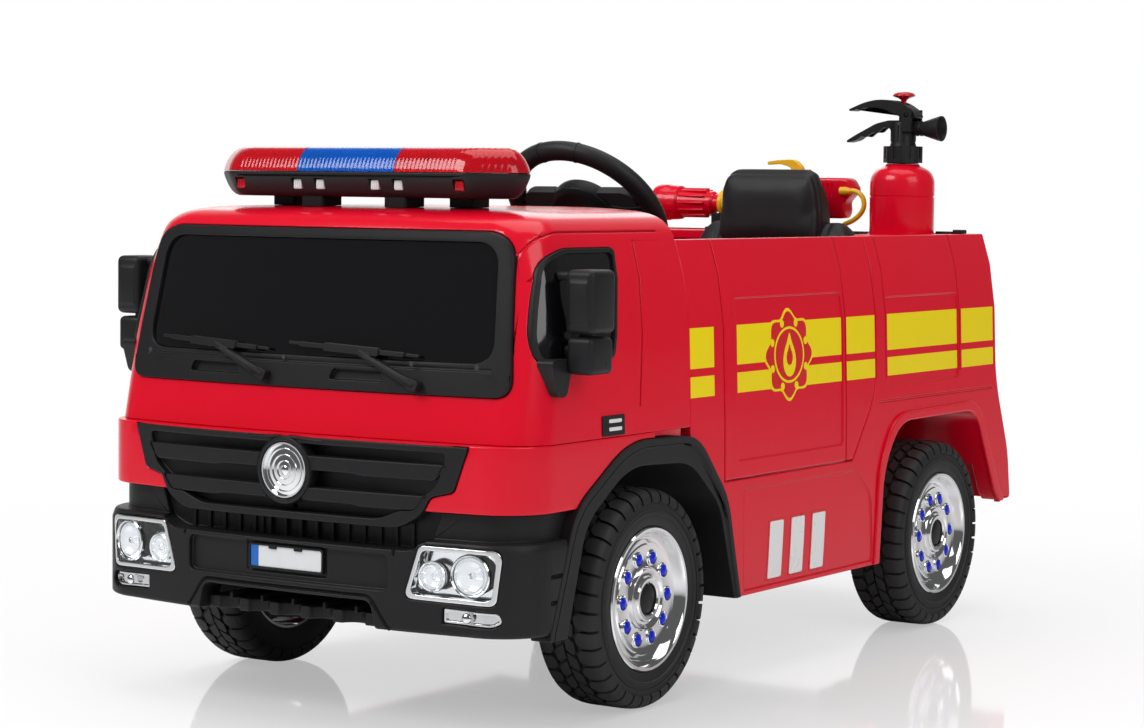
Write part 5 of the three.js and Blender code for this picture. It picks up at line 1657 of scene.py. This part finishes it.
def makeSeat():
    half = seatHigh.x
    front, back = seatLow.y + 6, seatHigh.y
    base = roundedBlock((-half + 6, half - 6), (front, back - 46), (seatLow.z + 4, seatLow.z + 36), 12, 6)
    inflated(base, 5)
    creased(base, [lambda co: abs(abs(co.x) - 66), lambda co: co.z - seatLow.z - 14])
    padPiece("seatCushion", base, "chassis", ["seat"])
    profile = [(back - 78, seatLow.z + 30, 16), (back - 46, 498, 20), (back - 34, seatHigh.z + 6, 16),
               (back - 10, seatHigh.z + 2, 14), (back - 5, 500, 10), (back - 5, seatLow.z + 30, 8)]
    backrest = prism(profile, "x", -half + 6, half - 6, steps=8)
    shoulders = prism([(-half + 4, seatLow.z), (half - 4, seatLow.z), (half - 5, 496, 30),
                       (half - 26, seatHigh.z + 8, 26), (-half + 26, seatHigh.z + 8, 26),
                       (-half + 5, 496, 30)], "y", 300, 520, steps=10)
    backrest = meet(backrest, shoulders)
    inflated(backrest, 4)
    creased(backrest, [lambda co: abs(abs(co.x) - 84) if co.y < back - 30 else 99])
    padPiece("seatBackrest", backrest, "chassis", [])
    shell = prism([(front + 4, seatLow.z, 3), (back - 3, seatLow.z, 3), (back - 1, 508, 4),
                   (back - 4.6, 508, 2), (back - 5.4, seatLow.z + 6, 3),
                   (front + 4, seatLow.z + 5, 2)], "x", -half + 3, half - 3)
    piece("seatShell", shell, "black", "chassis", bevel=1.0)

    wide, narrow = headHigh.x, headHigh.x - 12
    outline = [(-wide, headLow.z - 26, 10), (wide, headLow.z - 26, 10), (wide - 2, headLow.z + 24, 20),
               (narrow, headHigh.z, 16), (-narrow, headHigh.z, 16), (-wide + 2, headLow.z + 24, 20)]
    head = prism(outline, "y", headLow.y, headHigh.y, steps=10)
    section = [(headLow.y - 1, headLow.z - 26, 4), (headLow.y, headHigh.z - 14, 12),
               (headLow.y + 16, headHigh.z, 12), (headHigh.y - 22, headHigh.z - 2, 14),
               (headHigh.y - 2, headLow.z + 24, 16), (headHigh.y - 6, headLow.z - 26, 6)]
    head = meet(head, prism(section, "x", -100, 100, steps=8))
    inflated(head, 3)
    creased(head, [lambda co: abs(co.y - headLow.y - 11)])
    padPiece("headrestPad", head, "chassis", ["headrest"])
    print("seat made")


makeSeat()

# ---- extinguisher

bottleLow, bottleHigh = boxMm("extinguisher_bottle")
bottleSpec = {
    "radius": (bottleHigh.x - bottleLow.x) / 2,
    "centre": ((bottleLow.x + bottleHigh.x) / 2, (bottleLow.y + bottleHigh.y) / 2, 0),
    "seam": 556,
    "pivot": (12, 664),
    "grip": [(14, 657, 3), (-18, 657, 3), (-36, 653, 5), (-46, 648, 4), (-68, 637, 4), (-80, 630, 2),
             (-79, 627.4, 1), (-66, 630.4, 3), (-58, 636, 3), (-50, 634.4, 3), (-42, 641, 3),
             (-33, 640.6, 3), (-25, 648, 3), (-15, 646, 3), (-14, 640), (14, 640)],
    "lever": [(24, 661, 3), (19, 670, 5), (4, 680, 8), (-14, 684, 8), (-34, 685, 10), (-54, 681, 10),
              (-76, 672, 1), (-75, 669.4, 1), (-56, 673.6, 10), (-38, 675, 8), (-22, 671.4, 6),
              (-8, 665, 5), (4, 660, 4), (16, 658.4, 4)],
}


def onBottle(obj):
    return moved(obj, bottleSpec["centre"])


def makeExtinguisher():
    radius, seam = bottleSpec["radius"], bottleSpec["seam"]
    low, top = bottleLow.z, bottleHigh.z
    profile = [(0, low + 1), (radius - 9, low), (radius - 3, low + 1.6), (radius, low + 7),
               (radius, seam - 1.4), (radius - 0.9, seam - 0.7), (radius - 0.9, seam + 0.3),
               (radius, seam + 1), (radius, seam + 6)]
    for step in range(1, 9):
        angle = math.radians(step * 9)
        profile.append((radius - 17 + 17 * math.cos(angle), seam + 16 + 22 * math.sin(angle)))
    profile += [(24, top - 2.6), (22.4, top - 1), (21.6, top), (0, top)]
    piece("extinguisherBottle", onBottle(lathe(profile, 96)), "red", "extinguisher",
          ["extinguisher_bottle"], bevel=0, sharp=50)

    turns = [math.tau * (step + 0.5) / 8 for step in range(8)]
    collar = prism([(27 * math.cos(turn), 27 * math.sin(turn), 5) for turn in turns], "z", top + 1.6, 622.5)
    collar = cut(collar, *ringOf(8, block((23.6, 30), (-2.2, 2.2), (606, 626))))
    neck = lathe([(0, top + 0.4), (20.5, top + 0.4), (21.4, top + 2), (21.4, 612), (0, 612)], 48)
    body = lathe([(0, 618), (19, 618), (17, 625), (16.4, 627), (16, 652), (14.6, 655), (6.4, 656), (6, 664),
                  (0, 664)], 48)
    ribs = ringOf(12, block((15.2, 16.9), (-0.9, 0.9), (629, 650)))
    grip = prism(bottleSpec["grip"], "y", -9, 9)
    hollow = prism([(-20, 640), (-20, 650), (-60, 634), (-60, 625)], "y", -6.2, 6.2)
    grip = cut(grip, hollow)
    horn = lathe([(0, 0), (8.4, 0), (8.4, 28), (10, 32), (13.5, 43), (16.4, 53), (16.9, 56), (15.4, 56.4),
                  (13.6, 53), (11, 44), (8.6, 40), (0, 39)], 48)
    rings = [lathe([(8, z), (10, z + 0.4), (10, z + 1.8), (8, z + 2.2)], 48, closed=True) for z in (20, 26)]
    horn = moved(merged(horn, *rings), (0, 0, 646), toX)
    horn = cut(horn, moved(rod(12, -20, 10, 32), (0, 0, 646)))
    pivotX, pivotZ = bottleSpec["pivot"]
    ears = joined(block((5, 19), (-17.8, 17.8), (642, 650)),
                  block((5, 19), (-17.8, -13.6), (642, 671)), block((5, 19), (13.6, 17.8), (642, 671)))
    ears = cut(ears, moved(rod(3.3, -30, 30, 24), (pivotX, 0, pivotZ), toFront))
    valve = merged(joined(collar, neck, body, grip), horn, *ribs, ears)
    piece("extinguisherValve", onBottle(valve), "black", "extinguisher", ["extinguisher_valve"], bevel=0,
          sharp=32)

    lever = prism(bottleSpec["lever"], "y", -12.6, 12.6, steps=6)
    lever = cut(lever, moved(rod(8.5, 640, 700, 40), (-1, 0, 0)))
    under = [(-16, 668), (-24, 672), (-40, 676.4), (-56, 675), (-64, 672), (-60, 664), (-16, 659)]
    lever = cut(lever, prism(under, "y", -9.6, 9.6))
    pin = moved(rod(2.5, -18, 18, 24, 0.5), (pivotX, 0, pivotZ), toFront)
    piece("extinguisherLever", onBottle(joined(lever, pin)), "black", "extinguisher_lever",
          ["extinguisher_lever"], bevel=1.1, segments=3)
    knob = lathe([(0, 660.4), (3, 660.4), (3, 681), (4.2, 684.4), (8, 686.8), (12.5, 688), (15, 689.4),
                  (14.8, 691), (11.8, 693.4), (6, 694.8), (0, 695)], 48)
    piece("extinguisherKnob", onBottle(knob), "button", "extinguisher_knob", ["extinguisher_knob"], bevel=0,
          sharp=50)
    clip = joined(block((0, 34), (-4, 4), (bodyTop - 1, bodyTop + 3)),
                  block((26, 42), (-5.5, 5.5), (bodyTop + 0.2, bodyTop + 5.5)))
    clip = moved(clip, (bottleHigh.x - 4, (bottleLow.y + bottleHigh.y) / 2 + 26, 0))
    piece("bottleClip", clip, "black", "chassis", bevel=1.2)
    print("extinguisher made")


makeExtinguisher()

# ---- water gun

gunSpec = {
    "origin": hoseSpec["from"],
    "nozzle": [(0, 182), (20.4, 182), (23.4, 184.5), (24.2, 190), (24.4, 201), (25.4, 203), (25.6, 216),
               (24.4, 221), (22, 223), (18.4, 214), (0, 206)],
    "barrel": [(0, 128), (13.4, 128), (16.2, 131), (17, 150), (19.4, 182), (19.6, 186), (0, 186)],
    "neck": [(0, 116), (12.6, 116), (12.6, 130), (0, 130)],
    "collar": [(0, 98), (17.4, 98), (18.8, 99.6), (18.8, 106), (17.6, 107.6), (17.6, 110), (18.8, 111.4),
               (18.8, 116), (17.4, 117.4), (0, 117.4)],
    "tube": [(0, -30), (18.4, -30), (18.6, -20), (14, -12), (12.6, 0), (12, 38), (15.6, 48), (18.2, 58),
             (18.6, 98), (0, 98)],
    "grip": [(95, 21, 5), (85, 37, 7), (34, 37, 5), (30, 20, 6), (36, -6, 8), (46, -18, 12), (60, -18.5, 5),
             (78, -18.5, 5), (82, -8, 10), (80, 4, 10), (88, 12, 6)],
}


def onGun(obj):
    return moved(obj, gunSpec["origin"])


def makeGun():
    along = turnedBy(-90, "Y")
    nozzle = lathe(gunSpec["nozzle"], 64)
    lugs = ringOf(2, roundedBlock((22, 26.4), (-4, 4), (209, 217), 1.5, 3), 0.6)
    barrel = lathe(gunSpec["barrel"], 64)
    ribs = ringOf(12, roundedBlock((16.6, 20.8), (-1.5, 1.5), (139, 181), 1.2, 3))
    tube = lathe(gunSpec["tube"], 64)
    neck = lathe(gunSpec["neck"], 48)
    grip = prism(gunSpec["grip"], "y", -13.4, 13.4, steps=8)
    bm = edited(grip)
    beveled(bm, [edge for edge in bm.edges if abs(edge.verts[0].co.y - edge.verts[1].co.y) < 0.01], 4, 4)
    kept(bm, grip)
    for x in (46, 53, 60):
        for y in (-13.4, 13.4):
            grip = cut(grip, roundedBlock((x, x + 3), (y - 1.2, y + 1.2), (12, 29), 0.9, 2))
    ears = [block((-5, 17), (y0, y1), (6, 48)) for y0, y1 in ((-10, -6), (6, 10))]
    gun = merged(moved(merged(nozzle, barrel, neck, tube, *lugs, *ribs), turn=along), grip, *ears)
    piece("gunBody", onGun(gun), "red", "chassis", ["gun_body"], bevel=0, sharp=34)
    collar = moved(lathe(gunSpec["collar"], 64), turn=along)
    nub = moved(lathe([(0, 0), (5.6, 0), (5.6, 8), (4.4, 13), (4.2, 14.6), (0, 14.6)], 32), (76, -15.5, 19),
                toX)
    piece("gunYellow", onGun(merged(collar, nub)), "yellow", "chassis", bevel=0)
    lever = prism([(11, 38, 3), (9.6, 51, 5), (-2, 62, 7), (-26, 61, 6), (-44, 58.6, 3), (-44, 54, 2),
                   (-24, 55.4, 6), (-8, 51, 6), (1.6, 38, 3)], "y", -5.6, 5.6)
    pin = moved(rod(2.5, -10, 10, 24, 0.4), (6, 0, 42), toFront)
    piece("gunLever", onGun(joined(lever, pin)), "yellow", "gun_lever", ["gun_lever"], bevel=1.1, segments=3)
    y = gunSpec["origin"].y
    tray = roundedBlock((-132, 62), (y - 25, y + 24), (bodyTop - 1.8, bodyTop + 3.2), 2, 3)
    hollow = roundedBlock((-129, 59), (y - 22, y + 21), (bodyTop + 0.6, bodyTop + 9), 2, 3)
    piece("gunTray", cut(tray, hollow), "black", "chassis", bevel=0)
    gland = lathe([(0, -8), (7.6, -8), (7.6, -2), (6.4, -0.6), (5.8, 3), (4.6, 9), (4.3, 11), (0, 11)], 32)
    foot = Vector((66, y - 14, bodyTop - 2))
    piece("hoseGland", moved(gland, foot, turnedBy(50, "Y")), "black", "chassis", bevel=0)
    print("water gun made")


makeGun()

# ---- vents and tail details

tailSpec = {"lamp z": (166, 202), "lamp x": (212, 254), "handle": (318, 342)}


def makeVents():
    outline = [(-430, 303.5, 2), (-430, 325, 2), (-386, 325, 2), (-386, 303.5, 2)]
    frame = meet(cut(cabSolid(-1.3), cabSolid(2.4)), prism(outline, "x", bodyHalf - 60, 400))
    for z in (308, 316.5):
        slot = [(-417, z, 1.6), (-417, z + 4.6, 1.6), (-391, z + 4.6, 1.6), (-391, z, 1.6)]
        frame = cut(frame, meet(cut(cabSolid(-4), cabSolid(0.2)), prism(slot, "x", bodyHalf - 60, 400)))
    pair("cabVent_{side}", frame, "black", "chassis", bevel=0.5)
    slats = []
    for z in (308, 316.5):
        slot = [(-416.6, z + 0.4, 1.4), (-416.6, z + 4.2, 1.4), (-391.4, z + 4.2, 1.4),
                (-391.4, z + 0.4, 1.4)]
        slats.append(meet(cut(cabSolid(-0.8), cabSolid(0.1)), prism(slot, "x", bodyHalf - 60, 400)))
    pair("ventSlats_{side}", merged(*slats), "plate", "chassis", bevel=0)
    print("vents made")


def makeTail():
    for side, sign in sides:
        (low, high), (inner, outer) = tailSpec["lamp z"], tailSpec["lamp x"]
        xs = sorted((sign * inner, sign * outer))
        housing = roundedBlock((xs[0] - 3, xs[1] + 3), (tailY - 16, tailY - 3), (low - 3, high + 3), 2.4, 3)
        lens = roundedBlock(xs, (tailY - 12, tailY - 1.2), (low, high), 2.4, 4)
        piece(f"tailHousing_{side}", housing, "black", "chassis", bevel=0)
        piece(f"tailLens_{side}", lens, "redLens", "chassis", bevel=0)
    low, high = tailSpec["handle"]
    handle = roundedBlock((-64, 64), (backWallY - 5, backWallY + 6), (low, high), 4, 4)
    handle = cut(handle, roundedBlock((-56, 56), (backWallY + 1, backWallY + 12), (low + 4, high - 4), 3, 3))
    piece("tailHandle", handle, "black", "chassis", bevel=0)
    print("tail made")


makeVents()
makeTail()

# ---- finishes of the frame's own nodes

frameFinishes = {}
for finishName, slot in slotOf.items():
    frameFinishes.setdefault(slot, finishName)  # the first finish with a slot is the slot's own
for part in frame["record"]["subparts"]:
    node = frame["nodes"][part["node"]]
    node.data.materials.clear()
    node.data.materials.append(finishes[frameFinishes[part["material_slot"]]])
print("frame nodes finished")

# ---- light, floor and world

studioSpec = {
    "key": {"place": (-1.6, -3.4, 3.4), "aim": (0, -0.1, 0.3), "size": (2.6, 2.0), "power": 104},
    "side": {"place": (3.6, -1.2, 2.4), "aim": (0.2, 0.1, 0.3), "size": (2.4, 2.2), "power": 40},
    "top": {"place": (0.2, 0.4, 3.6), "aim": (0, 0, 0.4), "size": (3.0, 3.0), "power": 46},
    "rear": {"place": (-2.4, 3.2, 2.2), "aim": (0, 0, 0.3), "size": (2.2, 1.6), "power": 12},
    "world": 0.5,
    "background": 1.0,
    "behind": (-0.545, 0.838, 0.0),
    "dark side": 0.1,
    "pale side": 1.0,
}


def areaLamp(name, place, aim, size, power):
    data = bpy.data.lights.new(name, "AREA")
    data.shape = "RECTANGLE"
    data.size, data.size_y = size
    data.energy = power
    lamp = bpy.data.objects.new(name, data)
    lamp.location = place
    lamp.rotation_euler = (Vector(aim) - Vector(place)).to_track_quat("-Z", "Y").to_euler()
    scene.collection.objects.link(lamp)


def greater(tree, first, firstOut, second, secondOut):
    both = addNode(tree, "ShaderNodeMath", operation="MAXIMUM")
    wire(tree, first, firstOut, both, 0)
    wire(tree, second, secondOut, both, 1)
    return both


def mixedBy(tree, factor, factorOut, first, second):
    mixed = addNode(tree, "ShaderNodeMixShader")
    wire(tree, factor, factorOut, mixed, "Fac")
    tree.links.new(first.outputs[0], mixed.inputs[1])
    tree.links.new(second.outputs[0], mixed.inputs[2])
    return mixed


def makeWorld():
    world = bpy.data.worlds.new("studio")
    scene.world = world
    world.use_nodes = True
    tree = world.node_tree
    tree.nodes.clear()
    lit = addNode(tree, "ShaderNodeBackground", Strength=studioSpec["world"])
    lit.inputs["Color"].default_value = (1, 1, 1, 1)
    shown = addNode(tree, "ShaderNodeBackground", Strength=studioSpec["background"])
    shown.inputs["Color"].default_value = (1, 1, 1, 1)
    inGloss = addNode(tree, "ShaderNodeBackground", Strength=studioSpec["background"])
    place = addNode(tree, "ShaderNodeTexCoord")
    facing = addNode(tree, "ShaderNodeVectorMath", operation="DOT_PRODUCT")
    facing.inputs[1].default_value = studioSpec["behind"]
    level = addNode(tree, "ShaderNodeMapRange")
    level.inputs["From Min"].default_value = 0.6
    level.inputs["From Max"].default_value = 0.95
    level.inputs["To Min"].default_value = studioSpec["dark side"]
    level.inputs["To Max"].default_value = studioSpec["pale side"]
    wire(tree, place, "Object", facing, 0)
    wire(tree, facing, "Value", level, "Value")
    wire(tree, level, "Result", inGloss, "Color")
    path = addNode(tree, "ShaderNodeLightPath")
    seen = greater(tree, path, "Is Camera Ray", path, "Is Transmission Ray")
    inside = mixedBy(tree, path, "Is Glossy Ray", lit, inGloss)
    whole = mixedBy(tree, seen, "Value", inside, shown)
    result = addNode(tree, "ShaderNodeOutputWorld")
    wire(tree, whole, "Shader", result, "Surface")


def makeFloor():
    bm = bmesh.new()
    bmesh.ops.create_circle(bm, cap_ends=True, segments=96, radius=14)
    floor = asObject(bm, "floor")
    material, tree, shader = newMaterial("pale floor")
    shader.inputs["Base Color"].default_value = (0.9, 0.9, 0.91, 1)
    shader.inputs["Specular IOR Level"].default_value = 0.8
    cloud = addNode(tree, "ShaderNodeTexNoise", Scale=3.0)
    rough = addNode(tree, "ShaderNodeMapRange")
    rough.inputs["To Min"].default_value = 0.04
    rough.inputs["To Max"].default_value = 0.08
    place = addNode(tree, "ShaderNodeTexCoord")
    wire(tree, place, "Object", cloud, "Vector")
    wire(tree, cloud, "Fac", rough, "Value")
    wire(tree, rough, "Result", shader, "Roughness")
    glow = addNode(tree, "ShaderNodeEmission", Strength=1.0)
    glow.inputs["Color"].default_value = (1, 1, 1, 1)
    reach = addNode(tree, "ShaderNodeVectorMath", operation="LENGTH")
    far = addNode(tree, "ShaderNodeMapRange")
    far.inputs["From Min"].default_value = 0.6
    far.inputs["From Max"].default_value = 1.9
    far.inputs["To Min"].default_value = 0.42
    wire(tree, place, "Object", reach, 0)
    wire(tree, reach, "Value", far, "Value")
    path = addNode(tree, "ShaderNodeLightPath")
    outward = addNode(tree, "ShaderNodeVectorMath", operation="NORMALIZE")
    facing = addNode(tree, "ShaderNodeVectorMath", operation="DOT_PRODUCT")
    facing.inputs[1].default_value = studioSpec["behind"]
    backdrop = addNode(tree, "ShaderNodeMapRange")
    backdrop.inputs["From Min"].default_value = 0.6
    backdrop.inputs["From Max"].default_value = 0.95
    inGloss = addNode(tree, "ShaderNodeMath", operation="MULTIPLY")
    wire(tree, place, "Object", outward, 0)
    wire(tree, outward, "Vector", facing, 0)
    wire(tree, facing, "Value", backdrop, "Value")
    wire(tree, backdrop, "Result", inGloss, 0)
    wire(tree, path, "Is Glossy Ray", inGloss, 1)
    direct = greater(tree, path, "Is Camera Ray", path, "Is Transmission Ray")
    seen = greater(tree, direct, "Value", inGloss, "Value")
    share = addNode(tree, "ShaderNodeMath", operation="MULTIPLY")
    wire(tree, seen, "Value", share, 0)
    wire(tree, far, "Result", share, 1)
    whole = mixedBy(tree, share, "Value", shader, glow)
    wire(tree, whole, "Shader", tree.nodes["Material Output"], "Surface")
    floor.data.materials.append(material)


for name in ("key", "side", "top", "rear"):
    areaLamp(name, **studioSpec[name])
makeWorld()
makeFloor()
scene.view_settings.view_transform = "Standard"
print("studio lit")
